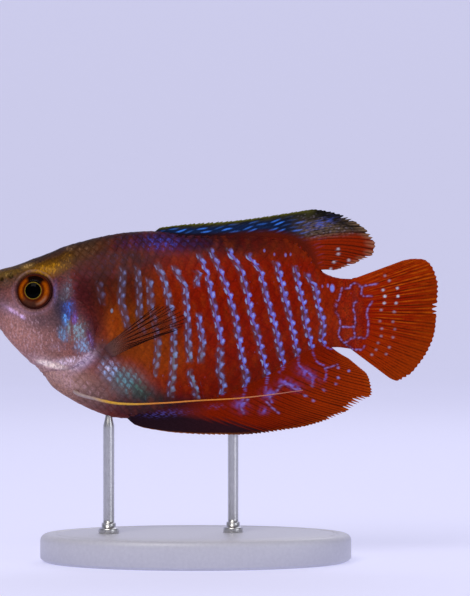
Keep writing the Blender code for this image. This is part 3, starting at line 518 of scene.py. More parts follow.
# Painted patches of the body in the order they are laid, each its centre, its two half sizes, its turn in
# degrees, the sharpness of its edge, its colour and its strength
CLOUDS = (
    # Flank, from the front to the tail
    ((26.0, -3.5), (6.0, 8.0), 10, 1.2, "#843c02", 0.95),
    ((31.0, -9.0), (5.0, 3.5), 0, 1.0, "#944006", 0.7),
    ((23.2, -3.4), (1.3, 4.6), -4, 1.2, "#a04402", 0.8),
    ((45.0, -3.0), (10.0, 9.0), 0, 1.4, "#7c1200", 0.8),
    ((57.5, -3.5), (3.5, 6.0), 0, 1.2, "#8c2402", 0.8),
    ((50.0, 8.0), (8.0, 1.8), 0, 1.2, "#70220a", 0.7),
    ((34.0, 9.6), (9.0, 1.8), -4, 1.2, "#14122a", 0.88),
    ((40.0, 9.0), (11.0, 1.8), 0, 1.2, "#240a08", 0.85),
    ((24.5, 9.0), (7.0, 2.6), 12, 1.2, "#261614", 0.92),
    ((27.0, 6.6), (6.0, 1.8), 4, 1.0, "#34161a", 0.8),
    ((33.0, -17.0), (10.0, 2.0), -6, 1.4, "#2a1220", 0.95),
    ((24.5, -13.5), (4.6, 2.6), -28, 1.2, "#46626a", 0.9),
    ((27.5, -15.4), (4.0, 1.8), -10, 1.2, "#2c3c34", 0.8),
    ((44.0, -12.0), (8.0, 2.6), 14, 1.2, "#681400", 0.6),
    # Head
    ((9.0, -7.0), (13.0, 9.0), -40, 1.6, "#86584f", 1.0),
    ((16.0, -13.5), (6.5, 3.0), -22, 1.4, "#a47a68", 1.0),
    ((7.0, -6.0), (3.6, 3.4), -40, 1.2, "#ac7464", 0.9),
    ((21.6, -8.3), (1.5, 1.3), -20, 1.2, "#4c343c", 0.9),
    ((20.5, -15.5), (4.0, 2.4), -14, 1.2, "#745450", 0.9),
    ((27.0, -17.8), (5.0, 1.8), -6, 1.2, "#38242a", 0.95),
    ((7.0, 5.4), (9.0, 2.6), 16, 1.6, "#5e4410", 1.0),
    ((15.0, 6.6), (6.0, 3.2), 26, 1.4, "#482a06", 0.95),
    ((20.0, 9.6), (5.0, 1.8), 18, 1.2, "#44301e", 0.8),
    ((4.0, 2.8), (4.6, 2.2), 10, 1.2, "#482a14", 0.85),
    ((18.6, 1.4), (3.0, 4.8), 0, 1.4, "#381016", 0.9),
    ((19.8, -4.2), (1.6, 3.6), 0, 1.4, "#441416", 0.85),
    ((14.9, -1.0), (1.9, 3.8), 10, 1.2, "#40303c", 0.85),
    ((21.2, 2.4), (1.7, 4.8), 0, 1.4, "#34160e", 0.85),
    ((25.0, 3.2), (4.6, 5.6), 0, 1.5, "#34140c", 0.84),
    ((26.4, -6.8), (4.4, 2.2), 0, 1.4, "#b4500f", 0.6),
    ((11.4, -3.1), (2.8, 1.6), -4, 1.4, "#40282e", 0.85),
    ((14.2, -1.4), (1.4, 3.6), 0, 1.2, "#3c3038", 0.88),
    ((4.8, -0.4), (2.4, 1.7), 0, 1.2, "#4c3036", 0.8),
    ((7.0, -1.7), (2.6, 1.0), -22, 1.2, "#a07e94", 0.5),
    ((12.8, -10.2), (3.4, 1.0), -14, 1.2, "#c4a4ac", 0.85),
    ((18.6, -9.6), (2.6, 0.9), 38, 1.2, "#b0a0c0", 0.7),
    ((15.6, -13.2), (6.0, 0.7), -24, 1.2, "#b8948c", 0.4),
    ((21.7, -8.2), (2.3, 1.7), -50, 1.4, "#50342f", 0.92),
)
# The patches of gleaming flecks, in the same form
GLEAM_CLOUDS = (
    # Blue, teal and violet behind the cheek
    ((16.0, -2.2), (1.1, 2.7), 8, 1.2, "#3868c4", 0.9),
    ((15.4, -3.4), (0.6, 1.5), 8, 1.0, "#5ca0ec", 0.95),
    ((15.1, -5.4), (1.3, 1.5), 10, 1.2, "#6a9cc8", 0.88),
    ((17.2, -5.0), (1.8, 2.9), 24, 1.2, "#7896a4", 0.95),
    ((18.2, -7.2), (1.7, 1.5), 0, 1.2, "#7c98bc", 0.95),
    ((19.4, -6.4), (0.6, 2.2), 20, 1.0, "#7c6cac", 0.7),
    ((15.6, 1.6), (1.0, 2.2), -8, 1.2, "#6c7484", 0.8),
    # Chest
    ((22.6, -11.2), (2.1, 1.6), -34, 1.4, "#90a8d0", 1.0),
    ((25.2, -12.7), (3.1, 2.0), -34, 1.4, "#608890", 0.95),
    ((26.9, -13.9), (1.9, 1.4), -34, 1.3, "#46665a", 0.9),
    ((22.1, -10.9), (0.9, 0.6), -34, 1.2, "#c8bcd0", 0.8),
    ((22.4, -9.8), (1.0, 0.6), 0, 1.2, "#c0b0d0", 0.6),
    # Gold on the crown
    ((12.2, 4.7), (3.9, 1.3), 20, 1.2, "#a8740c", 0.95),
    ((9.2, 5.4), (1.2, 0.5), 12, 1.2, "#c09858", 0.7),
    ((15.8, 6.9), (2.2, 1.0), 24, 1.2, "#7c5418", 0.7),
    ((5.0, 3.9), (3.0, 0.6), 14, 1.2, "#8c7038", 0.6),
    # Lilac and silver bands
    ((7.0, -1.8), (2.0, 0.5), -32, 1.2, "#d4b0dc", 0.85),
    ((8.5, -2.7), (0.9, 0.5), -34, 1.2, "#d8b8e8", 0.95),
    ((13.4, -7.4), (2.4, 1.3), 0, 1.2, "#a898b4", 0.6),
    ((15.6, -9.7), (2.6, 0.8), 8, 1.2, "#dcc8dc", 0.95),
    ((13.75, 1.6), (0.35, 1.9), 0, 1.2, "#585898", 0.6),
    ((16.8, -3.1), (0.7, 1.3), 0, 1.2, "#8070dc", 0.85),
    ((15.9, 8.3), (0.9, 0.5), 20, 1.2, "#8c6c50", 0.75),
    ((17.8, 8.0), (1.1, 0.6), 20, 1.2, "#8c6040", 0.75),
    ((12.9, -10.3), (3.2, 0.7), -14, 1.2, "#f0dcd0", 1.1),
    ((18.0, -9.7), (2.8, 0.7), 36, 1.2, "#dcc4d0", 1.0),
    ((9.0, -6.0), (8.0, 6.0), -40, 1.6, "#b08c92", 0.55),
    ((16.0, -13.0), (6.0, 2.0), -26, 1.2, "#b48e94", 0.65),
    # Blue under the dorsal fin
    ((30.4, 9.2), (4.6, 1.4), -2, 1.2, "#3840a0", 0.85),
    ((35.0, 9.0), (3.4, 0.9), -2, 1.2, "#343478", 0.6),
    ((26.4, 9.0), (3.2, 1.3), 6, 1.2, "#3c3070", 0.7),
    ((18.6, 8.0), (3.4, 1.4), 22, 1.2, "#6c4c38", 0.6),
    ((23.0, 6.6), (5.0, 1.8), 12, 1.2, "#40304c", 0.55),
)


def blue_line(gap, s, h):
    """How strongly a fine blue line shows at a distance from it: it swells and fades along its way."""
    uneven = np.clip(0.5 + 1.4 * mottle(s, h, 0.2, 1.0), 0, 1)
    return (0.12 + 0.73 * uneven) * ramp(gap, 0.12 + 0.12 * uneven, 0.03)


def body_gleam(s, h):
    """The head's and chest's flecks: the colour there, and how densely they lie. A groove parts them."""
    colour = plain("#7080c0", s)
    strength = np.zeros(np.shape(s))
    for *place, shade, value in GLEAM_CLOUDS:
        mask = value * cloud(s, h, *place)
        colour = paint(colour, (ramp(mask, strength * 0.6, strength * 0.6 + 0.2), shade))
        strength = np.maximum(strength, mask)
    groove = hump(s - 16.4 + 0.04 * (h + 4), 0.0, 0.17) * ramp(h, -1.4, -2.4) * ramp(h, -8.0, -6.8)
    strength = strength * (1 - 0.85 * groove)
    return np.concatenate([colour, strength[..., None]], axis=-1)


def body_tint(s, h):
    """The body's colour, in painted layers from the ground colour up.

    Clouds, painted shade in a dark line along the back's edge and the dorsal fin's root, warm and dark
    streaks on the flank, a fine speckle, stronger on the head, small dark spots on the crown, and the blue
    lines of the tail's root.
    """
    tint = plain("#821600", s)
    for *place, colour, strength in CLOUDS:
        tint = paint(tint, (strength * cloud(s, h, *place), colour))
    head = ease(s, 23.0, 19.0)
    streaks = mottle(s * 2.2, h * 0.6, 0.8, 6.0) * (1 - head)
    # Painted shade: a dark line along the back's edge, from the crown to the dorsal fin's root
    tint = paint(tint, (0.75 * ramp(back(s) - h, 1.6, 0.2) * ramp(s, 4, 9) * ramp(s, 53, 46), "#1c1416"),
                 (0.35 * ramp(streaks, 0.0, 0.5), "#8c3206"), (0.35 * ramp(streaks, 0.0, -0.5), "#6a0c00"))
    speckle = 0.3 * mottle(s, h, 0.2, 5.0) + 0.25 * mottle(s, h, 0.11, 7.0)
    tint = tint * (1 + head * speckle + 0.06 * mottle(s, h, 0.6, 8.0))[..., None]
    spots = ramp(mottle(s, h, 0.17, 3.0), 0.25, 0.5) * ramp(h, 0.5, 3.0) * ramp(s, 22.0, 17.0)
    tint = paint(tint, (0.55 * spots, "#241810"))
    return np.clip(blue_network(tint, NETWORK, s, h), 0.0, 1.0)


def stripe_places(h):
    """Where each stripe stands at a height, as s, carried on past its ends with a lean."""
    places = []
    for points, _ in STRIPES:
        (s0, h0), (s1, h1) = points[0], points[-1]
        line = [(h1 - 12, s1 - 12 * STRIPE_LEAN[1]), *((b, a) for a, b in reversed(points))]
        line.append((h0 + 12, s0 + 12 * STRIPE_LEAN[0]))
        places.append(np.interp(h, *zip(*line)))
    return np.stack(places, axis=-1)


def stripe_lattice(s, h):
    """Stripe count at (s, h): a whole number of periods on each stripe, even in slope close to it."""
    places = stripe_places(h)
    stops = np.concatenate([(places + near)[..., None] for near, _ in STRIPE_NEAR], axis=-1)
    stops = np.maximum.accumulate(stops.reshape(*np.shape(s), -1), axis=-1)
    count = np.arange(len(STRIPES)) * STRIPE_PERIOD
    values = np.stack([count + away for _, away in STRIPE_NEAR], axis=-1).ravel()
    ends = (s - stops[..., 0]).clip(max=0) + (s - stops[..., -1]).clip(min=0)
    total = values[0] + ends / COLUMN_STEP[0]
    for j in range(len(values) - 1):
        width = np.maximum(stops[..., j + 1] - stops[..., j], 0.02)
        total = total + (values[j + 1] - values[j]) * np.clip((s - stops[..., j]) / width, 0, 1)
    return total


def stripe_strength(count, h, row):
    """How bright the stripe nearest to each point is, a little uneven from row to row."""
    nearest = np.clip(np.round(count / STRIPE_PERIOD), 0, len(STRIPES) - 1).astype(int)
    strength = np.zeros(np.shape(h))
    for k, (_, spans) in enumerate(STRIPES):
        bright = np.zeros(np.shape(h))
        for top, bottom, value in spans:
            shown = value * ramp(h, top + 0.4, top - 0.3) * ramp(h, bottom - 0.4, bottom + 0.3)
            bright = np.maximum(bright, shown)
        strength = np.where(nearest == k, bright, strength)
    uneven = 0.84 + 0.3 * np.sin(row * 2.1 + nearest * 1.9) * np.sin(row * 0.9 - nearest * 2.7)
    return strength * uneven * (ramp(count, -2, -1) * ramp(count, STRIPE_END, STRIPE_END - 1))


def dash_tint(s, h):
    """Colour of the dashes: lavender blue, greyer and greener low at the front."""
    return paint(plain("#6c74d8", s),
                 (0.75 * ease(s, 41.0, 31.0), "#7290b8"),
                 (0.6 * ease(s, 29.5, 25.0), "#4e4e74"),
                 (0.75 * ease(h, -4.0, -10.0) * ease(s, 46.0, 36.0), "#76969a"))


def markings(s, h, girth):
    """Tint, dash and gleam colours with their strengths, and lattice place of points on the body."""
    row = (row_line_girth(np.clip(s, FIRST, LAST)) - girth) / row_height(s)
    count = stripe_lattice(s, h)
    strength = stripe_strength(count, h, row)
    dash = np.concatenate([dash_tint(s, h), strength[..., None]], axis=-1)
    lattice = np.stack([count, row, np.zeros(np.shape(s))], axis=-1)
    return {"tint": body_tint(s, h), "dash": dash, "gleam": body_gleam(s, h), "lattice": lattice}


# Materials

def node(tree, kind, inputs=(), **settings):
    """Adds a shader node, sets its properties, and gives inputs, by place or name, a value or a link."""
    made = tree.nodes.new("ShaderNode" + kind)
    for key, value in settings.items():
        setattr(made, key, value)
    for key, value in inputs.items() if isinstance(inputs, dict) else enumerate(inputs):
        if isinstance(value, bpy.types.Node):
            value = next(socket for socket in value.outputs if socket.enabled)
        if isinstance(value, bpy.types.NodeSocket):
            tree.links.new(value, made.inputs[key])
        else:
            made.inputs[key].default_value = value
    return made


def rgba(hex_colour):
    """A socket's colour from an sRGB hex value."""
    return (*linear(hex_colour), 1.0)


def finish(name, settings):
    """A material of one Principled shader with its plain settings, and the shader."""
    made = bpy.data.materials.new(name)
    made.use_nodes = True
    shader = made.node_tree.nodes["Principled BSDF"]
    for key, value in settings.items():
        shader.inputs[key].default_value = value
    return made, made.node_tree, shader


def grain(tree, shader, size, depth, detail=3.0):
    """Fine relief: even noise whose grains are a size in millimetres, raised by a depth in millimetres."""
    where = node(tree, "TexCoord").outputs["Object"]
    noise = node(tree, "TexNoise", {"Vector": where, "Scale": 1 / (size * MM), "Detail": detail})
    bump = node(tree, "Bump", {"Height": noise.outputs[0], "Strength": 1.0, "Distance": depth * MM})
    tree.links.new(bump.outputs["Normal"], shader.inputs["Normal"])
    return noise


# A stripe's layers from the ground up: its place, the row it is drawn in (whole or half, and a little up or
# down), the dash's width, length, centre, lean, taper and sharpness, how strongly it covers, and its colour,
# None for the dash attribute's own
STRIPE_LAYERS = (
    ("band", 0, (1.15, 9.0, -0.15, 0.0, 0.0, 1.6), 0.9, "#4e3e4a"),
    ("drop", 1, (0.36, 0.4, -0.64, 0.0, 0.5, 1.8), 0.8, "#543c70"),
    ("drop's light", 3, (0.25, 0.3, -0.66, 0.0, 0.5, 1.8), 0.9, "#8c98c4"),
    ("link", 1, (0.34, 0.66, -0.05, 0.25, 0.0, 1.6), 0.62, None),
    ("dash", 0, (0.58, 0.32, 0.28, 0.2, -0.5, 1.7), 0.95, None),
    ("dash's light", 2, (0.3, 0.17, 0.36, 0.2, -0.4, 1.5), 0.75, "#9ca6e4"),
)


def uneven_tint(tree, shader, size, depth, spread):
    """The tint attribute's colour, made lighter and darker by a spread with a grain that is also raised."""
    tint = node(tree, "Attribute", attribute_name="tint").outputs["Color"]
    noise = grain(tree, shader, size, depth)
    shade = node(tree, "MapRange", {"Value": noise.outputs[0], "From Min": 0.3, "From Max": 0.7,
                                    "To Min": 1 - spread, "To Max": 1 + spread})
    return node(tree, "VectorMath", {0: tint, "Scale": shade}, operation="SCALE").outputs["Vector"]


def dash_mask(tree, across, down, width, length, centre, lean, taper, sharp):
    """A dash in lattice units: 1 - (a/width)^2 - (r/length)^2, sharpened and kept from 0 to 1.

    The lean slides it sideways down its length, and the taper makes it wider at its lower end.
    """
    shifted = node(tree, "Math", (down, lean, -centre), operation="MULTIPLY_ADD")
    a = node(tree, "Math", (across, shifted), operation="ADD")
    narrow = node(tree, "Math", (down, -taper / width, 1 / width), operation="MULTIPLY_ADD")
    a = node(tree, "Math", (a, narrow), operation="MULTIPLY")
    r = node(tree, "Math", (down, 1 / length), operation="MULTIPLY")
    a2 = node(tree, "Math", (a, a), operation="MULTIPLY")
    total = node(tree, "Math", (r, r, a2), operation="MULTIPLY_ADD")
    left = node(tree, "Math", (1.0, total), operation="SUBTRACT")
    return node(tree, "Math", (left, sharp), operation="MULTIPLY", use_clamp=True)


def stripe_layers(tree, ground):
    """Lays the chains of dashes over the ground colour, from the lattice and the dash attributes.

    Each stripe has a round dash in each row, a link of the dash's own colour down to the next, a greyer drop
    half a row lower on its front side, and a dull band under them where it is faint. Noise moves their edges.
    """
    lattice = node(tree, "Attribute", attribute_name="lattice")
    split = node(tree, "SeparateXYZ", (lattice.outputs["Vector"],))
    dash = node(tree, "Attribute", attribute_name="dash")
    share = node(tree, "Math", (split.outputs[0], 1 / STRIPE_PERIOD, 0.5), operation="MULTIPLY_ADD")
    share = node(tree, "Math", (share,), operation="FRACT")
    across = node(tree, "Math", (share, STRIPE_PERIOD, -STRIPE_PERIOD / 2), operation="MULTIPLY_ADD")
    wander = node(tree, "TexNoise", {"Vector": node(tree, "TexCoord").outputs["Object"],
                                     "Scale": 1 / (0.8 * MM), "Detail": 3.0})
    bend = node(tree, "SeparateColor", (wander.outputs["Color"],))
    aside = node(tree, "Math", (bend.outputs[0], 1.1, -0.55), operation="MULTIPLY_ADD")
    across = node(tree, "Math", (across, aside), operation="ADD")
    aside = node(tree, "Math", (bend.outputs[1], 0.6, -0.3), operation="MULTIPLY_ADD")
    down = node(tree, "Math", (split.outputs[1], aside), operation="ADD")
    rows = []
    for start in (0.5, 0.0, 0.56, -0.06):
        moved = node(tree, "Math", (down, start), operation="ADD")
        part = node(tree, "Math", (moved,), operation="FRACT")
        rows.append(node(tree, "Math", (part, 0.5), operation="SUBTRACT"))
    alpha = dash.outputs["Alpha"]
    faint = node(tree, "Math", (alpha, -1.9, 2.05), operation="MULTIPLY_ADD")
    colour = ground
    for place, row, shape, amount, shade in STRIPE_LAYERS:
        mask = dash_mask(tree, across, rows[row], *shape)
        strength = node(tree, "Math", (alpha, amount), operation="MULTIPLY")
        if place in ("band", "drop", "link"):
            strength = node(tree, "Math", (strength, faint if place == "band" else alpha),
                            operation="MULTIPLY")
        factor = node(tree, "Math", (mask, strength), operation="MULTIPLY", use_clamp=True)
        over = rgba(shade) if shade else dash.outputs["Color"]
        colour = node(tree, "Mix", {"Factor": factor, 6: colour, 7: over}, data_type="RGBA").outputs[2]
    return colour


def body_material(name, roughness, coat, size, depth, spread):
    """Living fish skin: wet and softly glossy, with markings from its attributes and a fine grain."""
    made, tree, shader = finish(name, {"Roughness": roughness, "Coat Weight": coat, "Coat Roughness": 0.22,
                                       "Specular IOR Level": 0.03})
    ground = gleam_layer(tree, uneven_tint(tree, shader, size, depth, spread))
    tree.links.new(spot_layer(tree, stripe_layers(tree, ground)), shader.inputs["Base Color"])
    return made


def spot_layer(tree, ground):
    """The body's lone blue spots, each an upright oval about its centre on both sides."""
    place = node(tree, "TexCoord").outputs["Object"]
    for s, h, radius in BODY_SPOTS:
        x, _, z = metres([s, h, 0.0])
        offset = node(tree, "VectorMath", (place, (x, 0.0, z)), operation="SUBTRACT")
        offset = node(tree, "VectorMath", (offset, (1.0, 0.0, 0.6)), operation="MULTIPLY")
        reach = node(tree, "VectorMath", (offset,), operation="LENGTH").outputs["Value"]
        shown = node(tree, "MapRange", {"Value": reach, "From Min": 1.2 * radius * MM,
                                        "From Max": 0.6 * radius * MM, "To Max": min(1.0, radius / 0.36)})
        colour = rgba("#7c88e0" if s > HEAD_END else "#86a2bc")
        ground = node(tree, "Mix", {"Factor": shown, 6: ground, 7: colour}, data_type="RGBA").outputs[2]
    return ground


def gleam_layer(tree, ground):
    """Lays the gleam attribute's colour as a thin wash, broken into flecks a third of a millimetre wide.

    A fleck shows where noise, drawn out along the height, is above a level that falls as the gleam's strength
    rises.
    """
    gleam = node(tree, "Attribute", attribute_name="gleam")
    where = node(tree, "Mapping", {"Vector": node(tree, "TexCoord").outputs["Object"],
                                   "Rotation": (0.0, math.radians(-24), 0.0), "Scale": (1.7, 1.0, 0.8)})
    noise = node(tree, "TexNoise", {"Vector": where, "Scale": 1 / (0.5 * MM), "Detail": 3.0,
                                    "Roughness": 0.6})
    wash = node(tree, "Math", (gleam.outputs["Alpha"], 0.4), operation="MULTIPLY")
    ground = node(tree, "Mix", {"Factor": wash, 6: ground, 7: gleam.outputs["Color"]},
                  data_type="RGBA").outputs[2]
    level = node(tree, "Math", (gleam.outputs["Alpha"], 0.34, -0.7), operation="MULTIPLY_ADD")
    above = node(tree, "Math", (noise.outputs[0], level), operation="ADD")
    fleck = node(tree, "Math", (above, 4.5), operation="MULTIPLY", use_clamp=True)
    fleck = node(tree, "Math", (fleck, 0.85), operation="MULTIPLY")
    bright = node(tree, "VectorMath", {0: gleam.outputs["Color"], "Scale": 1.35}, operation="SCALE")
    return node(tree, "Mix", {"Factor": fleck, 6: ground, 7: bright.outputs["Vector"]},
                data_type="RGBA").outputs[2]


def tinted_material(name, settings, size, depth, spread=0.14):
    """A finish whose colour is the piece's own tint attribute, a little uneven at its grain."""
    made, tree, shader = finish(name, settings)
    tree.links.new(uneven_tint(tree, shader, size, depth, spread), shader.inputs["Base Color"])
    return made


# Wet fish skin: a soft shine with fine pores. The body's scales are drier, with a shallower, evener grain
SKIN = body_material("wet fish skin", 0.4, 0.05, 0.3, 0.02, 0.42)
SCALE = body_material("thin bony scale", 0.42, 0.025, 0.35, 0.012, 0.2)
HEAD_SCALE = body_material("small head scale", 0.4, 0.05, 0.3, 0.02, 0.42)
# Fin membrane over bony rays: satin, with a fine grain that shades its colour. The pectoral fin's rays have a
# finer grain, and the feelers' threads a soft shine
FIN = tinted_material("rayed fin membrane", {"Roughness": 0.5, "Specular IOR Level": 0.02}, 0.25, 0.01)
PECTORAL = tinted_material("clear fin ray", {"Roughness": 0.5, "Specular IOR Level": 0.03}, 0.2, 0.008)
THREAD = tinted_material("feeler thread", {"Roughness": 0.4}, 0.3, 0.01)
# Living eye: colour under a wet clear cornea
EYE = tinted_material("wet eye", {"Roughness": 0.35, "Coat Weight": 0.07, "Coat Roughness": 0.05,
                                  "Coat IOR": 1.376, "Specular IOR Level": 0.0}, 0.3, 0.004, 0.2)


def window_material():
    """The pectoral fin's membrane: a brown film, thick at its root and nearly clear at its edge."""
    made, tree, shader = finish("clear fin film", {"Roughness": 0.5, "Specular IOR Level": 0.03})
    grain(tree, shader, 0.3, 0.006)
    tint = node(tree, "Attribute", attribute_name="tint")
    tree.links.new(tint.outputs["Color"], shader.inputs["Base Color"])
    tree.links.new(tint.outputs["Alpha"], shader.inputs["Alpha"])
    return made


def lacquer_material():
    """Satin grey lacquer sprayed on aluminium: a faint orange peel of about half a millimetre."""
    made, tree, shader = finish("satin grey lacquer", {"Roughness": 0.42, "Coat Weight": 0.2,
                                                       "Coat Roughness": 0.35})
    noise = grain(tree, shader, 0.5, 0.006, 2.0)
    colour = node(tree, "ValToRGB", {0: noise.outputs[0]})
    colour.color_ramp.elements[0].color = rgba("#b9b9c4")
    colour.color_ramp.elements[1].color = rgba("#c9c9d2")
    tree.links.new(colour.outputs[0], shader.inputs["Base Color"])
    return made


def steel_material():
    """Stainless rod, turned: fine rings about 0.12 mm apart round its length."""
    made, tree, shader = finish("turned stainless steel", {"Roughness": 0.3, "Metallic": 1.0})
    where = node(tree, "TexCoord").outputs["Object"]
    split = node(tree, "SeparateXYZ", (where,))
    wave = node(tree, "Math", (split.outputs[2], 2 * math.pi / (0.12 * MM)), operation="MULTIPLY")
    rings = node(tree, "Math", (wave,), operation="SINE")
    noise = node(tree, "TexNoise", {"Vector": where, "Scale": 1 / (0.6 * MM), "Detail": 3.0})
    height = node(tree, "Math", (rings, noise.outputs[0]), operation="ADD")
    bump = node(tree, "Bump", {"Height": height, "Strength": 0.5, "Distance": 0.004 * MM})
    tree.links.new(bump.outputs["Normal"], shader.inputs["Normal"])
    shade = node(tree, "MapRange", {"Value": noise.outputs[0], "To Min": 0.5, "To Max": 0.64})
    grey = node(tree, "CombineColor", (shade, shade, shade))
    tree.links.new(grey.outputs[0], shader.inputs["Base Color"])
    return made


# Meshes

def grid_faces(rows, columns, round_columns=False):
    """Quads of a grid of vertices stored row by row, joined round where asked."""
    i, j = np.meshgrid(np.arange(rows - 1), np.arange(columns - (not round_columns)), indexing="ij")
    k, m = i + 1, (j + 1) % columns
    quads = np.stack([i * columns + j, i * columns + m, k * columns + m, k * columns + j], axis=-1)
    return quads.reshape(-1, 4)


def cap_faces(ring, tip):
    """Triangles from a closed ring of vertices to one more vertex."""
    ring = np.asarray(ring)
    return np.stack([ring, np.roll(ring, -1), np.full(len(ring), tip)], axis=-1)


def ring_faces(rows, around):
    """Faces of a closed shape of rings, which two more vertices close at its first and its last ring."""
    ring = np.arange(around)
    return [grid_faces(rows, around, round_columns=True), cap_faces(ring[::-1], rows * around),
            cap_faces(ring + (rows - 1) * around, rows * around + 1)]


def sheet_faces(rows, columns):
    """Quads of a closed sheet: two grids of vertices, one after the other, and a strip between their rims."""
    other = rows * columns
    grid = grid_faces(rows, columns)
    index = np.arange(other).reshape(rows, columns)
    rim = np.concatenate([index[0, :-1], index[:-1, -1], index[-1, :0:-1], index[:0:-1, 0]])
    strip = np.stack([rim, np.roll(rim, -1), np.roll(rim, -1) + other, rim + other], axis=-1)
    return np.concatenate([grid[:, ::-1], grid + other, strip])


def two_sides(middle, half):
    """Points of a sheet's two sides, each half its thickness from the middle."""
    offset = np.zeros_like(middle)
    offset[..., 2] = half
    return np.concatenate([(middle - offset).reshape(-1, 3), (middle + offset).reshape(-1, 3)])


def volume(points, faces):
    """Six times the volume inside faces, above zero where they point outwards."""
    total = 0.0
    for one, two in ((1, 2), (2, 3))[:faces.shape[1] - 2]:
        a, b, c = (points[faces[:, k]] for k in (0, one, two))
        total += np.sum(a * np.cross(b, c))
    return total


def build(name, points, face_sets, material, attributes=None):
    """Makes a closed object from points in millimetres and arrays of faces, which it turns outwards."""
    place = metres(points)
    centred = place - place.mean(axis=0)
    if sum(volume(centred, faces) for faces in face_sets) < 0:
        face_sets = [faces[:, ::-1] for faces in face_sets]
    mesh = bpy.data.meshes.new(name)
    mesh.vertices.add(len(place))
    mesh.vertices.foreach_set("co", place.astype(np.float32).ravel())
    corners = np.concatenate([faces.ravel() for faces in face_sets]).astype(np.int32)
    sizes = np.concatenate([np.full(len(faces), faces.shape[1]) for faces in face_sets])
    mesh.loops.add(len(corners))
    mesh.loops.foreach_set("vertex_index", corners)
    mesh.polygons.add(len(sizes))
    mesh.polygons.foreach_set("loop_start", np.concatenate([[0], np.cumsum(sizes)[:-1]]).astype(np.int32))
    mesh.update(calc_edges=True)
    mesh.validate()
    mesh.shade_smooth()
    for key, values in (attributes or {}).items():
        if key == "lattice":
            made = mesh.attributes.new(key, "FLOAT_VECTOR", "POINT")
            made.data.foreach_set("vector", np.asarray(values, np.float32).ravel())
        else:
            if values.shape[-1] == 3:
                values = np.concatenate([values, np.ones((*values.shape[:-1], 1))], axis=-1)
            made = mesh.color_attributes.new(key, "FLOAT_COLOR", "POINT")
            made.data.foreach_set("color", values.astype(np.float32).ravel())
    mesh.materials.append(material)
    obj = bpy.data.objects.new(name, mesh)
    bpy.context.scene.collection.objects.link(obj)
    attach(obj, "root")
    return obj


# The skin

def build_skin():
    """One closed skin from the lips to the tail fin's root.

    Rings of the body's section, closer together on the head, drawn in to a point at the snout and thinned
    behind into the tail fin, each moved out along the surface's own direction by the relief.
    """
    around = SKIN_AROUND
    turn = np.linspace(0, 2 * math.pi, around, endpoint=False) + 1e-4
    stations = np.unique(np.concatenate([np.linspace(*stretch) for stretch in SKIN_RINGS]))
    rings = [on_body(np.full(around, s), turn) for s in stations]
    first, last = rings[0], rings[-1]
    centre = np.array([FIRST, SNOUT_HEIGHT, 0.0])
    nose = []
    for lean in np.radians((84, 72, 60, 48, 36, 24, 12)):
        ring = centre + (first - centre) * math.cos(lean)
        ring[:, 0] = FIRST - SNOUT_LENGTH * math.sin(lean)
        nose.append(ring)
    share = (last[:, 1] - last[:, 1].min()) / np.ptp(last[:, 1])
    tail = []
    for reach in np.linspace(0.1, 2.3, 23):
        thin, inset = (np.interp(reach, TAIL_REACH, values) for values in (TAIL_THIN, TAIL_INSET))
        top, bottom = BACK[-1][1] + 0.28 * reach - inset, BELLY[-1][1] - 0.75 * reach + inset
        heights = bottom + (top - bottom) * share
        tail.append(np.stack([last[:, 0] + reach, heights, last[:, 2] * thin], axis=-1))
    grid = np.array([*nose, *rings, *tail])
    out = np.cross(np.gradient(grid, axis=0), np.roll(grid, -1, axis=1) - np.roll(grid, 1, axis=1))
    out /= np.maximum(np.linalg.norm(out, axis=-1, keepdims=True), 1e-9)
    axis = grid.mean(axis=1, keepdims=True)
    out *= np.sign(np.sum(out * (grid - axis), axis=(1, 2), keepdims=True))
    s, h = grid[..., 0], grid[..., 1]
    grid = grid + out * relief(s, h)[..., None]
    ends = np.array([grid[0].mean(axis=0), grid[-1].mean(axis=0)])
    ends[0, 0] -= 0.01
    # From here the marks: girth from the widest height, up to the back and down to the belly on both sides
    s, h = np.append(s.ravel(), ends[:, 0]), np.append(h.ravel(), ends[:, 1])
    half = np.where(turn > math.pi / 2, math.pi - turn, turn)
    half = np.where(turn > 1.5 * math.pi, turn - 2 * math.pi, half)
    girth = girth_at(np.clip(s, FIRST, LAST), np.append(np.tile(half, len(grid)), [0.0, 0.0]))
    marks = markings(s, h, girth)
    reach = away(s, h, EYE_PLACE)
    mouth = np.abs(h - smooth(MOUTH_LINE)(s))
    marks["tint"] = paint(
        marks["tint"],
        # Painted shade in the socket round the eye, dark from the rim inwards
        (0.8 * ramp(reach, 3.3, 2.9), "#3c1414"),
        (0.4 * hump(reach, 3.5, 0.3) * ramp(h, 3.4, 1.6), "#8a6a78"),
        (0.45 * hump(reach, 3.25, 0.2) * ramp(h, 2.2, 3.6), "#84727c"),
        # Painted shade in the nostrils' pits
        *((0.85 * ramp(away(s, h, place), radius + 0.1, radius - 0.1), "#1c1210")
          for *place, radius in NOSTRILS),
        # Painted shade along the mouth's slit, between the lips
        (0.7 * ramp(mouth, 0.2, 0.05) * ease(s, 3.0, 2.2), "#3a1c20"))
    points = np.concatenate([grid.reshape(-1, 3), ends])
    skin = build("skin", points, ring_faces(len(grid), around), SKIN, marks)
    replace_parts(skin, "head", "lower_jaw", "gill_cover_left", "gill_cover_right", "trunk", "tail_root")


# The coat of scales

def column_place(count, h):
    """Where a column of scales stands at a height, between the stripes that the columns follow."""
    places = stripe_places(h)[..., list(COLUMN_STRIPES)]
    values = np.array(COLUMN_COUNTS, float)
    s = places[..., 0] + np.minimum(count, 0) * COLUMN_STEP[0]
    s = s + np.maximum(count - values[-1], 0) * COLUMN_STEP[1]
    for j in range(len(values) - 1):
        share = np.clip((count - values[j]) / (values[j + 1] - values[j]), 0, 1)
        s = s + (places[..., j + 1] - places[..., j]) * share
    return s


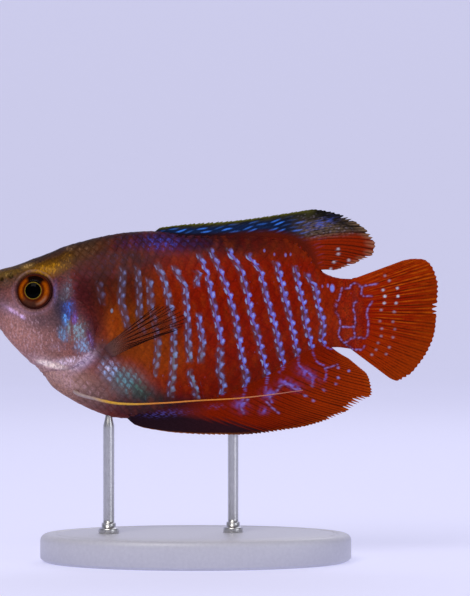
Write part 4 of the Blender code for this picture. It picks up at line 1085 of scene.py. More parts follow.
def body_scale_places():
    """Centres of the scales behind the gill opening: s, girth, and the two sizes of their lattice.

    A scale's s hangs on its height, and its height on its s, so the two are found in a few turns.
    """
    count, row = np.meshgrid(np.arange(-12, 62), np.arange(-12, 22), indexing="ij")
    row = row + 0.5 * (count % 2)
    h = ROW_LINE - row * 1.7  # A first guess, which the turns better
    for _ in range(6):
        s = np.clip(column_place(count, h), 12.0, LAST)
        girth = row_line_girth(s) - row * row_height(s)
        h, _ = section(s, turn_at(s, girth))
    after = column_place(count + 1.0, h) - column_place(count - 1.0, h)
    # Off the back's and belly's edges, behind the gill opening and ahead of the tail fin
    kept = np.abs(turn_at(s, girth)) < SCALE_TURN
    kept &= (before_gill(s, h) < -0.15) & (column_place(count, h) < SCALES_END) & ((s > 16.4) | (h > 2))
    return s[kept], girth[kept], after[kept] / 2, row_height(s[kept])


def head_scale_places():
    """Centres of the small scales of the gill cover, cheek and nape."""
    column, row = HEAD_LATTICE
    count, line = np.meshgrid(np.arange(0, 46), np.arange(-22, 22), indexing="ij")
    s = 6.5 + count * column
    girth = (line + 0.5 * (count % 2)) * row
    turn = turn_at(s, girth)
    h, _ = section(s, turn)
    ridge, _ = line_distance(CREASES[0][0], s, h, 24)
    # Ahead of the gill opening, off the eye, the cheek's ridge, the throat's edge and the snout
    kept = (np.abs(turn) < SCALE_TURN) & (before_gill(s, h) > 0.45) & (s < 20.5)
    kept &= (away(s, h, EYE_PLACE) > 4.2) & (ridge > 0.3) & (h > belly(s) + 1.2)
    kept &= (s > 9.0 + 0.25 * np.abs(h - 3)) | ((h > 4.6) & (s > 8.0))
    return s[kept], girth[kept], np.full(kept.sum(), column), np.full(kept.sum(), row)


def build_coat(name, centres, side, lift_scale, slot, seed):
    """Overlapping plates: each has a straight root under the skin and a rounded free edge above it.

    Along a plate the height rises from root to edge as u^0.8 and falls across it as v^2, and its length is
    cut back as |v|^2.2. Each is a closed sheet on the skin's own surface, with a patch on the bake map.
    """
    draw = np.random.default_rng(seed)
    s0, girth0, column, row = (values[:, None, None] for values in centres)
    number = len(s0)
    rows, columns = PLATE_GRID
    half = rows * columns
    u, v = np.meshgrid(np.linspace(0, 1, rows), np.linspace(-1, 1, columns), indexing="ij")
    size = draw.uniform(0.95, 1.05, number)[:, None, None]
    length = PLATE_LENGTH * column * size
    front = -PLATE_AHEAD * length
    free = front + length * (1 - PLATE_ROUNDING * np.abs(v) ** 2.2)
    a = front + u * (free - front)
    b = v * (PLATE_HALF * row) * size * (1 - PLATE_NARROWING * (1 - u) ** 2)
    swing = np.radians(draw.uniform(-3, 3, number))[:, None, None]
    s = np.clip(s0 + a - b * swing, FIRST + 0.1, LAST)
    girth = girth0 + b + a * swing
    here, out = body_with_normal(s, turn_at(s, girth))
    proud = draw.uniform(0.85, 1.1, number)[:, None, None] * lift_scale
    rise = PLATE_ROOT + (PLATE_LIFT * proud - PLATE_ROOT) * u ** 0.8 - PLATE_DOME * lift_scale * v ** 2
    rise = rise + relief(s, here[..., 1])
    under = rise - PLATE_THICKNESS * (1 - 0.5 * u)
    points = np.stack([here + out * height[..., None] for height in (rise, under)], axis=1)
    points[..., 0] += np.maximum(s0 + a - LAST, 0)[:, None]
    points = points.reshape(-1, 3)
    points[:, 2] *= side
    starts = (np.arange(number) * 2 * half)[:, None, None]
    faces = (sheet_faces(rows, columns)[None] + starts).reshape(-1, 4)

    marks = markings(s, here[..., 1], girth)
    edge = (1 - 0.16 * ramp(u, 0.72, 1.0) + 0.06 * (1 - v ** 2) * (1 - u))[None, ..., None]
    shade = draw.uniform(0.95, 1.05, number)[:, None, None, None]
    marks["tint"] = np.clip(marks["tint"] * edge * shade, 0, 1)
    oval = ramp(((u - 0.7) / 0.3) ** 2 + (v / 0.62) ** 2, 1.15, 0.3)
    marks["gleam"][..., 3] *= (0.3 + 0.8 * oval if slot == "scaled_skin" else 0.8 + 0.2 * oval)[None]
    for key, value in marks.items():
        value = np.concatenate([value.reshape(number, half, -1)] * 2, axis=1)
        marks[key] = value.reshape(-1, value.shape[-1])
    coat = build(name, points, [faces], SCALE if slot == "scaled_skin" else HEAD_SCALE, marks)
    coat.data.set_sharp_from_angle(angle=math.radians(50))

    patch = np.broadcast_to(np.stack([u, v / 2 + 0.5], axis=-1), (number, rows, columns, 2))
    root = np.stack([s0 / (LAST + 1), 0.5 + side * (girth0 + BAKE_FROM) / BAKE_SPAN], axis=-1)
    unwrap = (root + (patch - 0.5) * BAKE_PATCH).reshape(number, half, 2)
    unwrap = np.concatenate([unwrap, unwrap], axis=1).reshape(-1, 2)
    corners = np.zeros(len(coat.data.loops), np.int32)
    coat.data.loops.foreach_get("vertex_index", corners)
    layer = coat.data.uv_layers.new(name="OFBake")
    layer.uv.foreach_set("vector", unwrap[corners].astype(np.float32).ravel())


def build_coats():
    """The body's scales and the head's smaller ones, a piece on each side."""
    body, head = body_scale_places(), head_scale_places()
    for k, (name, side) in enumerate(SIDES):
        build_coat("body_scales_" + name, body, side, 1.0, "scaled_skin", 20 + k)
        build_coat("head_scales_" + name, head, side, 0.55, "head_skin", 30 + k)
    print("scales a side:", len(body[0]), len(head[0]))


# Fins

def branch(phase, t, start, spread):
    """Height of a ray's ridge across its width: one ridge, parting into two past a share of its length."""
    parting = spread * ease(t, start, min(start + 0.35, 0.99))
    return np.maximum(hump(phase - 0.5 - parting, 0.0, 0.13), hump(phase - 0.5 + parting, 0.0, 0.13))


def shortfall(fin, place, ray):
    """Share by which the membrane falls short between rays, uneven from ray to ray, with nicks."""
    amount, rear = fin["short"]
    short = (amount + rear * ease(place, 0.4, 0.55)) * (0.35 + 0.9 * np.abs(np.sin(ray * 2.7 + 0.6)))
    for where, depth in fin["nicks"]:
        short = short + depth * (np.abs(place - where) < 0.018)
    return short


def fin_sheet(name, fin, roots, tips, phase, colours):
    """A closed fin sheet in the middle plane.

    Each column is a bowed line from root to tip, root + reach t + bow across sin(pi t). Half the thickness is
    the membrane's, thinner towards the margin, plus the rays' ridges. At the root it blends over the fillet's
    length into a share of the body's own half width. Rays reach past the membrane at the margin.
    """
    number, rows, columns = fin["rays"], fin["rows"], len(phase)
    t = np.linspace(0, 1, rows) ** 0.9
    ray = np.minimum(number * np.arange(columns) // (columns - 1), number - 1)
    place = ray / number
    between = 1 - branch(phase, np.full(columns, 1.0), *fin["branch"])
    reach = (tips - roots) * (1 - shortfall(fin, place, ray) * between)[:, None]
    across = np.stack([-reach[:, 1], reach[:, 0]], axis=1)
    line = roots[:, None] + reach[:, None] * t[None, :, None]
    line = line + across[:, None] * (fin["bow"] * np.sin(math.pi * t))[None, :, None]
    ridge = branch(phase[:, None], t[None], *fin["branch"])
    half = FIN_EDGE_HALF + FIN_ROOT_HALF * (1 - t[None]) ** 2 + FIN_RAY_HALF * ridge * (1 - 0.75 * t[None])
    half = half * (1 - 0.55 * ramp(t[None], 0.9, 1.0))
    length = np.linalg.norm(reach, axis=1)[:, None]
    blend = ramp(t[None] * length, np.minimum(fin["fillet"], 0.55 * length), 0.0) ** 2
    body = np.maximum(flank(roots[:, 0], roots[:, 1]) * fin["thick"], 0.2)[:, None]
    half = half * (1 - blend) + body * blend
    middle = np.stack([line[..., 0], line[..., 1], np.zeros(half.shape)], axis=-1)
    tint = colours(line[..., 0], line[..., 1], np.broadcast_to(t, half.shape), phase[:, None],
                   place[:, None], ridge)
    marks = {"tint": np.concatenate([tint.reshape(-1, 3)] * 2)}
    sheet = build(name + "_sheet", two_sides(middle, half), [sheet_faces(columns, rows)], FIN, marks)
    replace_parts(sheet, name)


def outline_root(edge, stretch, shares, outward):
    """Points just inside the body's outline, from one s to another, evenly by length."""
    s = np.linspace(*stretch, 80)
    line = np.stack([s, edge(s)], axis=1)
    slope = np.gradient(line[:, 1], line[:, 0])
    normal = np.stack([-slope, np.ones(len(s))], axis=1) * outward
    normal /= np.linalg.norm(normal, axis=1, keepdims=True)
    return along(line - normal * FIN_SUNK, shares)


def tail_root(shares):
    """Points of an upright line just inside the body's end, evenly from its back to its belly."""
    top, bottom = BACK[-1][1] - 0.35, BELLY[-1][1] + 0.35
    return np.stack([np.full(len(shares), LAST - 0.5), top + (bottom - top) * shares], axis=1)


def slanting_dashes(s, h):
    """Long narrow dashes in rows 0.6 mm apart that rise at 15 degrees towards the tail.

    Where x and y run from -1/2 to 1/2 along and across a dash, it is 1.3 - (x/0.42)^2 - (y/0.24)^2, to the
    power 1.5, times a brightness that differs from dash to dash.
    """
    slant = math.radians(15)
    a, b = s * math.cos(slant) + h * math.sin(slant), h * math.cos(slant) - s * math.sin(slant)
    b = b + 0.1 * np.sin(a * 1.3)
    row = np.floor(b / 0.6)
    x, y = (a / 2.3 + 0.37 * row + 0.1 * np.sin(row * 2.1)) % 1.0 - 0.5, (b / 0.6) % 1.0 - 0.5
    bright = 0.5 + 0.5 * np.sin(row * 1.7 + np.floor(a / 2.3 + 0.37 * row) * 2.9)
    return np.clip(1.3 - (x / 0.42) ** 2 - (y / 0.24) ** 2, 0, 1) ** 1.5 * bright


def dorsal_colours(s, h, t, phase, along_fin, ridge):
    """Blue black in front with slanting bright dashes and an olive edge, smoky and orange behind.

    The rear is smoky with dark and pale blotches, orange low down, and has dark lines and pale ray tips. The
    front has a band of blue, the dashes, an olive edge and painted shade along its root, dark, then dark red
    behind. Both have a few blue flecks and dots.
    """
    rear = ease(s, 50.0, 56.0)
    lines = fin_lines(t, phase, along_fin, 2) * ramp(t, 0.12, 0.3) * rear
    band = ramp(t, 0.13, 0.27) * ramp(t, 0.74, 0.5) * ramp(s, 57.0, 52.5) * ramp(s, 29, 33)
    blue = slanting_dashes(s, h) * band * ramp(s, 58, 52)
    streaks = np.clip(0.7 + 1.1 * mottle(0.45 * (s + 0.3 * h), 2.4 * (h - 0.3 * s), 0.45, 3.0), 0, 1)
    # Painted shade along the fin's root, where it meets the body
    root_shade = ramp(t, 0.27, 0.12) * ramp(s, 57, 52)
    flecks = np.clip(0.3 + 2.0 * mottle(s * 0.5, h * 1.6, 0.2, 6.0), 0, 1)
    tint = paint(
        plain("#10131c", t),
        (rear * ramp(h, 13.8, 12.2) * (0.7 + 0.4 * mottle(s, h, 0.3, 3.0)), "#6c5844"),
        (0.85 * rear * ramp(mottle(s, h, 0.16, 4.0), 0.05, 0.4), "#1c1614"),
        (0.6 * rear * ramp(mottle(s, h, 0.18, 9.0), 0.3, 0.6), "#8c8090"),
        (ease(h - 0.12 * (s - 56), 10.9, 9.3) * ease(s, 47, 52), "#842002"),
        (0.85 * rear * ramp(h + 0.4 * (s - 56), 12.7, 13.8), "#14130e"),
        (0.92 * lines, "#140a06"),
        (0.6 * rear * ridge * ramp(t, 0.85, 0.97) * ramp(h, 13.5, 12.0), "#a08060"),
        (0.4 * band * ramp(s, 54, 46), "#163060"),
        (0.95 * blue * ramp(s, 56, 50), "#3f80ec"),
        (0.8 * blue * ramp(s, 51, 56), "#8088d8"),
        (0.8 * streaks * ramp(t, 0.5, 0.72) * ramp(s, 56.5, 53.0), "#3c3a1c"),
        (0.9 * ramp(t, 0.78, 0.92) * ramp(s, 55.5, 52.0), "#62601a"),
        # Painted shade at the root: dark, then dark red behind
        (0.95 * root_shade, "#221018"),
        (0.9 * root_shade * ramp(s, 38, 49), "#581806"),
        (0.8 * cloud(s, h, (56.2, 12.3), (1.9, 0.6), 18, 1.0) * flecks, "#4a64c8"))
    for place in DORSAL_SPOTS:
        reach = away(s, h, place)
        tint = paint(tint, (0.3 * ramp(reach, 0.5, 0.3), "#2a1410"), (ramp(reach, 0.32, 0.1), "#b4aab4"))
    return np.clip(tint, 0, 1)


def anal_colours(s, h, t, phase, along_fin, ridge):
    """Deep red at the body to orange red at the margin, dark lines between rays, a dark violet front.

    The dark front narrows to the margin behind. Over it lie violet flecks, an orange edge that breaks up into
    the rays' tips, the lower ends of the body's stripes, and blue lines, patches and dots.
    """
    lines = fin_lines(t, phase, along_fin, 2) * ramp(t, 0.08, 0.3)
    edge = np.interp(s, (27.0, 31.0, 36.0, 42.0, 49.0), (-0.1, 0.05, 0.25, 0.5, 1.0))
    uneven = 0.06 * np.sin(phase * 2 * math.pi) * ease(s, 34.0, 42.0)
    flecks = np.clip(1.8 * mottle(s * 0.6, h * 1.8, 0.14, 2), 0, 1)
    between = ramp(t, 0.72, 0.95) * (1 - ridge) * ramp(s, 40.0, 46.0)
    tint = paint(
        plain("#7c1a00", t),
        (0.9 * ease(t, 0.2, 0.9) * ease(along_fin, 0.35, 0.7), "#983002"),
        (0.95 * lines * ease(along_fin, 0.2, 0.5), "#260603"),
        (0.9 * ramp(s, 38.5, 32.5), "#421c20"),
        (0.96 * ramp(t + uneven, edge, edge + 0.16), "#22121a"),
        (0.9 * cloud(s, h, (31.0, -18.2), (3.2, 0.6), 4, 1.2) * flecks, "#6058b0"),
        (0.6 * cloud(s, h, (39.2, -17.1), (1.4, 0.4), 4, 1.2) * flecks, "#6a5498"),
        (0.9 * ramp(t, 0.9, 0.98) * (0.3 + 0.7 * ridge) * ramp(s, 47.0, 40.0), "#b8640c"),
        (0.85 * between * ramp(s, 62.0, 52.0), "#1c0604"),
        (0.5 * ramp(t, 0.9, 1.0) * ridge * ramp(s, 42.0, 50.0), "#b8540c"))
    for points, spans in STRIPES:
        (end_s, end_h), low = points[-1], spans[-1][1]
        if end_h < max(belly(end_s) + 2.5, -12):
            gap, _ = line_distance(points, s, h, 30)
            tint = paint(tint, (blue_line(gap, s, h) * ramp(h, low - 0.3, low), "#706cc8"))
    tint = blue_network(tint, ANAL_LINES, s, h)
    flecks = np.clip(0.6 + 1.6 * mottle(s, h, 0.3, 5), 0, 1)
    for place in ANAL_PATCHES:
        tint = paint(tint, (0.85 * cloud(s, h, *place, 0.8) * flecks, "#7468d0"))
    for k, place in enumerate(ANAL_SPOTS):
        shown = ramp(away(s, h, place), 0.28, 0.1) * (0.7 + 0.3 * math.sin(k * 1.9))
        tint = paint(tint, (shown, "#8288d0"))
    return np.clip(tint, 0, 1)


def caudal_colours(s, h, t, phase, along_fin, ridge):
    """Orange red with bright rays, and dark lines that split towards the margin.

    Over them lie a network of blue lines and pale dots, brightest along the middle.
    """
    bright = np.clip(np.sin(phase * 4 * math.pi + along_fin * 23), 0, 1)
    bright = bright * np.clip(0.5 + 1.2 * mottle(s * 0.4, h * 3, 0.5, 7.0), 0, 1)
    smoky = 0.7 + 0.5 * mottle(s * 0.5, h * 2.4, 0.5, 2.0) + 0.35 * cloud(s, h, (68.5, -0.5), (3.0, 4.5))
    lines = fin_lines(t, phase, along_fin, 3) * np.clip(smoky, 0.15, 1.0)
    tint = paint(
        plain("#801800", t),
        (ease(t, 0.02, 0.3), "#8c1800"),
        (0.8 * ease(t, 0.5, 1.0), "#842800"),
        (0.6 * ease(along_fin, 0.35, 0.0), "#a23000"),
        (0.75 * bright * ramp(t, 0.15, 0.4) * ramp(h, -9.0, -2.0), "#c45a08"),
        (0.4 * ramp(h, -2.0, -9.0) * ramp(t, 0.1, 0.4), "#a03c04"),
        (lines * ramp(t, 0.1, 0.35) * ramp(t, 1.25, 0.8), "#2a0702"))
    tint = blue_network(tint, NETWORK, s, h)
    for k, (dot_s, dot_h) in enumerate(TAIL_SPOTS):
        reach = np.hypot((s - dot_s) * 0.9, h - dot_h)
        lit = math.exp(-((dot_h - 0.6) / 1.6) ** 2)
        shown = ramp(reach, 0.28, 0.08) * (0.42 + 0.1 * math.sin(k * 2.3) + 0.48 * lit)
        tint = paint(tint, (0.2 * ramp(reach, 0.42, 0.2), "#3c1a20"), (shown, "#aaa6c0"),
                     (shown * lit, "#c8dce8"))
    return np.clip(tint, 0, 1)


def fin_lines(t, phase, along_fin, parts):
    """Dark lines along a fin: one beside each ray, and finer ones between them towards the margin."""
    first = np.cos(2 * math.pi * phase) ** 7 * (np.cos(2 * math.pi * phase) > 0)
    fine = np.clip(np.cos(2 * math.pi * parts * phase), 0, 1) ** 2
    wave = 0.75 + 0.25 * np.sin(along_fin * 41 + 5 * t)
    return np.clip(np.maximum(first * 0.9, fine * ramp(t, 0.3, 0.6) * wave), 0, 1)


def blue_network(tint, lines, s, h):
    """Thin broken lavender lines over a darker, narrow shadow."""
    for points in lines:
        gap, _ = line_distance(points, s, h, 24)
        tint = paint(tint, (0.45 * ramp(gap, 0.4, 0.2), "#4c1420"), (blue_line(gap, s, h), "#9080cc"))
    return tint


def ray_phases(number, steps):
    """Columns across a fin: the share along it, and the phase from 0 to 1 across each ray."""
    phase = np.append(np.tile(np.arange(steps) / steps, number), 1.0)
    return np.linspace(0, 1, number * steps + 1), phase


def build_fins():
    """The dorsal, anal and tail fins, each from a root inside the body to its margin."""
    for name, fin, edge, outward, colours, slot in (
        ("dorsal_fin", DORSAL, back, 1.0, dorsal_colours, "dorsal_fin"),
        ("anal_fin", ANAL, belly, -1.0, anal_colours, "fin"),
        ("tail_fin", CAUDAL, None, None, caudal_colours, "fin"),
    ):
        shares, phase = ray_phases(fin["rays"], fin["steps"])
        roots = outline_root(edge, fin["root"], shares, outward) if edge else tail_root(shares)
        fin_sheet(name, fin, roots, along(fin["margin"], shares ** fin["spread"]), phase, colours)


def tube(path, radius, around):
    """Points and faces of a closed round tube along points (s, h, y), with a radius at each."""
    path = np.asarray(path, float)
    way = np.gradient(path, axis=0)
    way /= np.linalg.norm(way, axis=1, keepdims=True)
    up = np.cross(way, np.cross(np.array([0.0, 0.0, 1.0]) + 0 * way, way))
    up /= np.linalg.norm(up, axis=1, keepdims=True)
    beside = np.cross(way, up)
    turn = np.linspace(0, 2 * math.pi, around, endpoint=False)
    ring = up[:, None] * np.cos(turn)[None, :, None] + beside[:, None] * np.sin(turn)[None, :, None]
    points = path[:, None] + ring * np.asarray(radius)[:, None, None]
    ends = np.array([path[0] - way[0] * radius[0] * 0.6, path[-1] + way[-1] * radius[-1]])
    return np.concatenate([points.reshape(-1, 3), ends]), ring_faces(len(path), around)


def join_parts(parts):
    """One array of points and one list of faces from many (points, faces) pieces."""
    points, quads, triangles, start = [], [], [], 0
    for part_points, part_faces in parts:
        points.append(part_points)
        for faces in part_faces:
            (quads if faces.shape[1] == 4 else triangles).append(faces + start)
        start += len(part_points)
    return np.concatenate(points), [np.concatenate(group) for group in (quads, triangles) if group]


def pectoral_place(shares, t, side):
    """Points of a pectoral fin at shares of its width and shares t of its rays' length, off the flank."""
    roots, tips = along(PECTORAL_ROOT, shares), along(PECTORAL_TIPS, shares)
    roots = roots - np.array([0.7, -0.3]) * np.sin(math.pi * shares)[:, None]
    line = roots[:, None] + (tips - roots)[:, None] * t[None, :, None]
    y = flank(line[..., 0], line[..., 1]) + smooth(PECTORAL_OFF)(t)[None]
    return np.stack([line[..., 0], line[..., 1], side * y], axis=-1)


def build_pectoral(name, side):
    """A pectoral fin: thin rays, forked near their ends, in a film that stands off the flank.

    Both are brown at the root. The rays darken towards their ends, and the film clears.
    """
    t = np.linspace(0, 1, 26)
    spread = (0.05 + 0.2 * ease(t, 0.6, 1.0)) / PECTORAL_RAYS
    parts = []
    for k in range(PECTORAL_RAYS):
        for fork in (-1, 1):
            shares = np.clip((k + 0.5) / PECTORAL_RAYS + fork * spread, 0, 1)
            path = [pectoral_place(np.array([at]), np.array([where]), side)[0, 0]
                    for at, where in zip(shares, t)]
            parts.append(tube(path, 0.066 - 0.014 * t, 8))
    points, faces = join_parts(parts)
    s = points[:, 0]
    tint = paint(plain("#1c0808", s), (0.8 * ease(s, 27.0, 23.5), "#3c1a18"),
                 (ease(s, 26.0, 23.0), "#5c3c34"), (0.8 * ease(s, 23.0, 22.0), "#523438"))
    tint = tint * (1 + 0.25 * mottle(s, points[:, 2], 0.3, 7.0))[:, None]
    rays = build("pectoral_rays_" + name, points, faces, PECTORAL, {"tint": tint})
    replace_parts(rays, "pectoral_fin_" + name)

    shares, phase = ray_phases(PECTORAL_RAYS, 6)
    t = np.linspace(0.02, 0.97, 22)
    middle = pectoral_place(shares, t, side)
    middle[:, -1] -= (middle[:, -1] - middle[:, -3]) * (0.5 * np.sin(math.pi * phase) ** 0.5)[:, None]
    columns, rows = middle.shape[:2]
    tint = paint(plain("#743420", middle[..., 0]), (ease(t, 0.34, 0.1), "#64443c"),
                 (0.8 * ease(t, 0.13, 0.02), "#52353a"))
    streaks = 0.3 * mottle(30.0 * shares[:, None], 4.0 * t[None], 0.9, 5.0)
    streaks = streaks + 0.22 * mottle(middle[..., 0], middle[..., 1], 0.3, 7.0)
    clear = np.interp(t, (0.0, 0.12, 0.28, 0.6, 1.0), (0.97, 0.85, 0.4, 0.24, 0.08))
    clear = np.broadcast_to(clear[:, None], (columns, rows, 1))
    tint = np.concatenate([tint * (1 + streaks)[..., None], clear], axis=-1).reshape(-1, 4)
    points = two_sides(middle, 0.02 + 0.11 * ease(t, 0.4, 0.1))
    build("pectoral_film_" + name, points, [sheet_faces(columns, rows)], FILM,
          {"tint": np.concatenate([tint, tint])})


def build_pelvic(name, side):
    """A pelvic fin's long thread: pale at its root, golden, then orange, and faded at its tip."""
    out, radius, height = smooth(PELVIC_OUT), smooth(PELVIC_RADIUS), smooth(PELVIC_PATH)
    s = PELVIC_PATH[0][0] + (PELVIC_PATH[-1][0] - PELVIC_PATH[0][0]) * np.linspace(0, 1, 150) ** 1.3
    path = np.stack([s, height(s) + 0.3 * ramp(s, 17.0, 20.0), side * out(s)], axis=-1)
    points, faces = tube(path, radius(s) * (1 + 0.05 * np.sin(s * 9)), 14)
    s = points[:, 0]
    tint = paint(plain("#a08a86", s), (ease(s, 19.0, 22.5), "#d09a20"), (ease(s, 25.0, 30.0), "#d07a14"),
                 (ease(s, 40.0, 50.0), "#b87058"))
    thread = build("pelvic_thread_" + name, points, faces, THREAD, {"tint": tint})
    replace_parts(thread, f"pelvic_fin_{name}_root", f"pelvic_fin_{name}_tip")


# Eyes

def build_eye(name, side):
    """An eyeball: a dome with its pole outwards, the pupil set a little in, the iris in fine folds.

    Rings from the pole have radius r and stand at depth sqrt(1 - (r/R)^2), with extra rings at each edge of
    colour. The iris rises to the pupil's rim and is folded along its radius. Its colours are an amber ring
    with streaks and a dark inner ring, a dark bar above, a dull patch below, a pale fleck low behind that is
    a painted reflection, the dark rim, a yellow line round the pupil, and the pupil.
    """
    around = 128
    radii = np.concatenate([np.linspace(0, 1.16, 12)[1:], [1.2, 1.24, 1.27, 1.31, 1.36, 1.42, 1.48],
                            np.linspace(1.56, 2.5, 18), [2.55, 2.6, 2.66, 2.72, 2.78, 2.83, 2.87, 2.895]])
    turn = np.linspace(0, 2 * math.pi, around, endpoint=False)
    dome = EYE_DEPTH * np.sqrt(1 - (radii / EYE_RADIUS) ** 2)
    cup = -0.14 * ramp(radii, 2.75, 2.5) * ramp(radii, 0.8, 1.6) + 0.05 * hump(radii, 1.32, 0.1)
    folds = 0.012 * np.sin(turn * 31)[None] * (ramp(radii, 1.4, 1.6) * ramp(radii, 2.7, 2.4))[:, None]
    behind = np.linspace(0, 0.5 * math.pi, 9)[1:-1]
    radii = np.append(radii, EYE_RADIUS * np.cos(behind))[:, None]
    back_depth = np.broadcast_to(-EYE_DEPTH * np.sin(behind)[:, None], (len(behind), around))
    depth = np.concatenate([(dome + cup)[:, None] + folds, back_depth])
    grid = np.stack([radii * np.cos(turn), radii * np.sin(turn), depth], axis=-1)
    local = np.concatenate([grid.reshape(-1, 3), [[0, 0, EYE_DEPTH], [0, 0, -EYE_DEPTH]]])
    flat_s, flat_h, deep = local.T
    forward, lift = math.cos(EYE_TURN), math.cos(EYE_LIFT)
    s = flat_s * forward - deep * math.sin(EYE_TURN)
    deep = flat_s * math.sin(EYE_TURN) + deep * forward
    h = flat_h * lift + deep * math.sin(EYE_LIFT)
    deep = deep * lift - flat_h * math.sin(EYE_LIFT)
    centre_y = float(flank(*map(np.array, EYE_PLACE))) - EYE_SUNK
    points = np.stack([EYE_PLACE[0] + s, EYE_PLACE[1] + h, side * (centre_y + deep)], axis=-1)

    r, way = np.hypot(flat_s, flat_h), np.arctan2(flat_h, flat_s)
    beside = 0.3 + 0.7 * np.abs(np.cos(way)) ** 1.5
    streaks = 0.5 + 0.5 * np.sin(way * 31 + 2 * np.sin(r * 5)) * np.sin(way * 17 + 1.0)
    above = ramp(np.abs(way - 1.42), 0.82, 0.56) * ramp(r, 2.6, 2.4)
    below = ramp(np.abs(way + 1.9), 0.8, 0.4) * ramp(r, 1.5, 1.9)
    # A pale fleck low and behind on the iris: a painted reflection
    pale = ramp(np.abs(way + 0.9), 0.6, 0.2) * hump(r, 2.2, 0.2)
    tint = paint(
        plain("#602000", r),
        (hump(r, 2.08, 0.3) * beside, "#ae5404"),
        (0.4 * streaks * ramp(r, 1.4, 1.8), "#642400"),
        (0.8 * hump(r, 1.62, 0.12), "#3a1404"),
        (0.98 * above, "#050304"),
        (0.8 * below, "#33241e"),
        (0.5 * pale, "#a08068"),
        (0.92 * ramp(r, 2.46, 2.62), "#2c0c08"),
        (0.5 * hump(r, 2.78, 0.07), "#6c4038"),
        (ramp(r, 1.39, 1.34), "#8a7424"),
        (ramp(r, 1.3, 1.26), "#010102"))
    tint[(deep < -0.2) & (r > 2.0)] = linear("#2a1010")
    eye = build("eyeball_" + name, points, ring_faces(len(grid), around), EYE, {"tint": tint})
    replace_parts(eye, "eye_" + name)


# Stand

def lathe(profile, centre, around, stretch=(1.0, 1.0)):
    """A closed turned shape: a profile of (radius, height) round an upright axis, stretched in plan."""
    turn = np.linspace(0, 2 * math.pi, around, endpoint=False)
    radius, height = (np.array(column, float) for column in zip(*profile))
    height = height - AXIS_HEIGHT
    s = centre[0] + radius[:, None] * np.cos(turn) * stretch[0]
    y = centre[1] + radius[:, None] * np.sin(turn) * stretch[1]
    points = np.stack([s, np.broadcast_to(height[:, None], s.shape), y], axis=-1).reshape(-1, 3)
    ends = np.array([[centre[0], end, centre[1]] for end in (height[0], height[-1])])
    return np.concatenate([points, ends]), ring_faces(len(radius), around)


def rounded(radius, height, corner):
    """Points of a rounded outer corner of a profile, from its side up to its top."""
    turn = np.linspace(0, math.pi / 2, 5)
    return [(radius - corner * (1 - math.cos(a)), height - corner * (1 - math.sin(a))) for a in turn]


def build_stand():
    """An oval lacquered base with a fine groove near its rim, and two turned rods with collars.

    The base's profile is in shares of its half sizes. A rod runs from the base to just inside the belly, or,
    beside the middle plane, to where the flank is as wide as the rod's own place.
    """
    low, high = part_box("stand_base")
    middle = ((low[0] + high[0]) / 2 / MM + TOTAL_LENGTH / 2, (low[1] + high[1]) / 2 / MM)
    half = ((high[0] - low[0]) / 2 / MM, (high[1] - low[1]) / 2 / MM)
    thick = high[2] / MM
    profile = [(0.2, 0.0), (0.6, 0.0), (0.9, 0.0), (0.965, 0.02), (0.985, 0.25), (1.0, 0.6),
               (1.0, thick - BASE_EDGE)]
    profile += [(1 - 0.045 * (1 - math.cos(a)), thick - BASE_EDGE * (1 - math.sin(a)))
                for a in np.linspace(0.15, math.pi / 2, 7)]
    profile += [(share, thick - cut) for share, cut in BASE_GROOVE]
    points, faces = lathe(profile, middle, 160, half)
    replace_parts(build("stand_plate", points, faces, LACQUER), "stand_base")
    for name, s, y, radius in RODS:
        top = float(belly(np.array(s)))
        if y:
            heights = np.linspace(top, -5.0, 200)
            top = float(heights[np.argmax(flank(np.full(200, s), heights) > y)])
        top = top + AXIS_HEIGHT + 0.7
        profile = [(0.3, thick - 0.5), (radius + 0.75, thick - 0.5),
                   *rounded(radius + 0.75, thick + 0.9, 0.3), (radius + 0.25, thick + 0.92),
                   *rounded(radius + 0.25, thick + 1.7, 0.2), (radius, thick + 1.72)]
        profile += [(radius, h) for h in np.linspace(thick + 2.2, top - 2.4, 12)]
        profile += [(radius * 0.98, top - 2.1), (radius * 0.8, top - 1.4), (radius * 0.6, top - 0.6),
                    (radius * 0.5, top), (0.1, top + 0.05)]
        points, faces = lathe(profile, (s, y), 40)
        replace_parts(build("stand_pin_" + name, points, faces, STEEL), "stand_rod_" + name)


# Studio

def put(obj, place=(0.0, 0.0, 0.0), turn=(0.0, 0.0, 0.0)):
    """Sets an object in the scene at a place and a turn, in metres and radians."""
    obj.location, obj.rotation_euler = place, turn
    bpy.context.scene.collection.objects.link(obj)


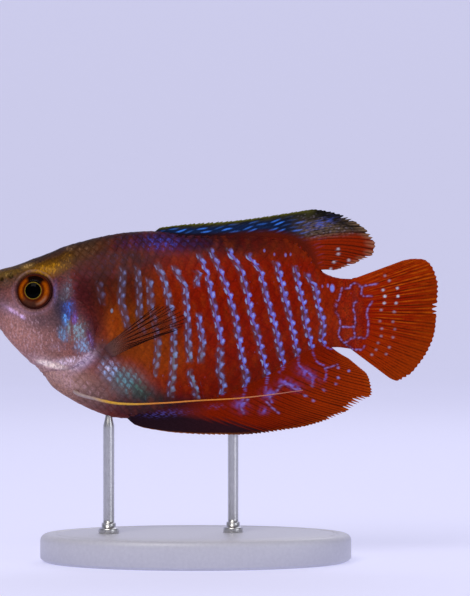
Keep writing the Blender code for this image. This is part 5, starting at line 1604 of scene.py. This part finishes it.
def build_studio():
    """A pale sweep for floor and backdrop, soft lights, and the camera at the photo's place."""
    bend = np.linspace(0, math.pi / 2, 24)
    profile = [(-1.5, 0.0), (0.0, 0.0),
               *((0.75 + 0.35 * math.sin(a), 0.35 * (1 - math.cos(a))) for a in bend), (1.1, 2.2)]
    mesh = bpy.data.meshes.new("studio_sweep")
    mesh.from_pydata([(x, y, z) for x in (-1.8, 1.8) for y, z in profile], [],
                     grid_faces(2, len(profile)).tolist())
    mesh.shade_smooth()
    made, tree, shader = finish("matte paper sweep", {
        "Roughness": 0.9, "Base Color": rgba("#a8a8bc"), "Emission Strength": 0.64,
        "Emission Color": rgba("#d6d6f2")})
    grain(tree, shader, 2.0, 0.01)
    mesh.materials.append(made)
    sweep = bpy.data.objects.new("studio_sweep", mesh)
    put(sweep)

    world = bpy.data.worlds.new("studio air")
    world.use_nodes = True
    air = world.node_tree.nodes["Background"]
    air.inputs[0].default_value, air.inputs[1].default_value = rgba("#dedeee"), 0.32
    bpy.context.scene.world = world
    bpy.context.scene.view_settings.view_transform = "Standard"

    for name, place, power, colour in LIGHTS:
        light = bpy.data.lights.new(name, "AREA")
        light.size, light.energy, light.color = LIGHT_SIZE, power, colour
        way = np.array(place) - np.array(LIT_PLACE)
        lean = math.acos(way[2] / np.linalg.norm(way))
        put(bpy.data.objects.new(name, light), place, (lean, 0.0, math.atan2(way[0], -way[1])))

    lens = bpy.data.cameras.new("photo_camera")
    lens.sensor_width = SENSOR
    lens.lens = SENSOR * CAMERA_DISTANCE / (PHOTO_HEIGHT * PIXEL * MM)
    lens.clip_start, lens.clip_end = 0.01, 10.0
    camera = bpy.data.objects.new("photo_camera", lens)
    put(camera, (CAMERA_X, -CAMERA_DISTANCE, CAMERA_Z), (math.radians(90), 0.0, 0.0))
    bpy.context.scene.camera = camera


FILM, LACQUER, STEEL = window_material(), lacquer_material(), steel_material()
build_skin()
build_coats()
build_fins()
for side_name, side_sign in SIDES:
    build_pectoral(side_name, side_sign)
    build_pelvic(side_name, side_sign)
    build_eye(side_name, side_sign)
build_stand()
build_studio()
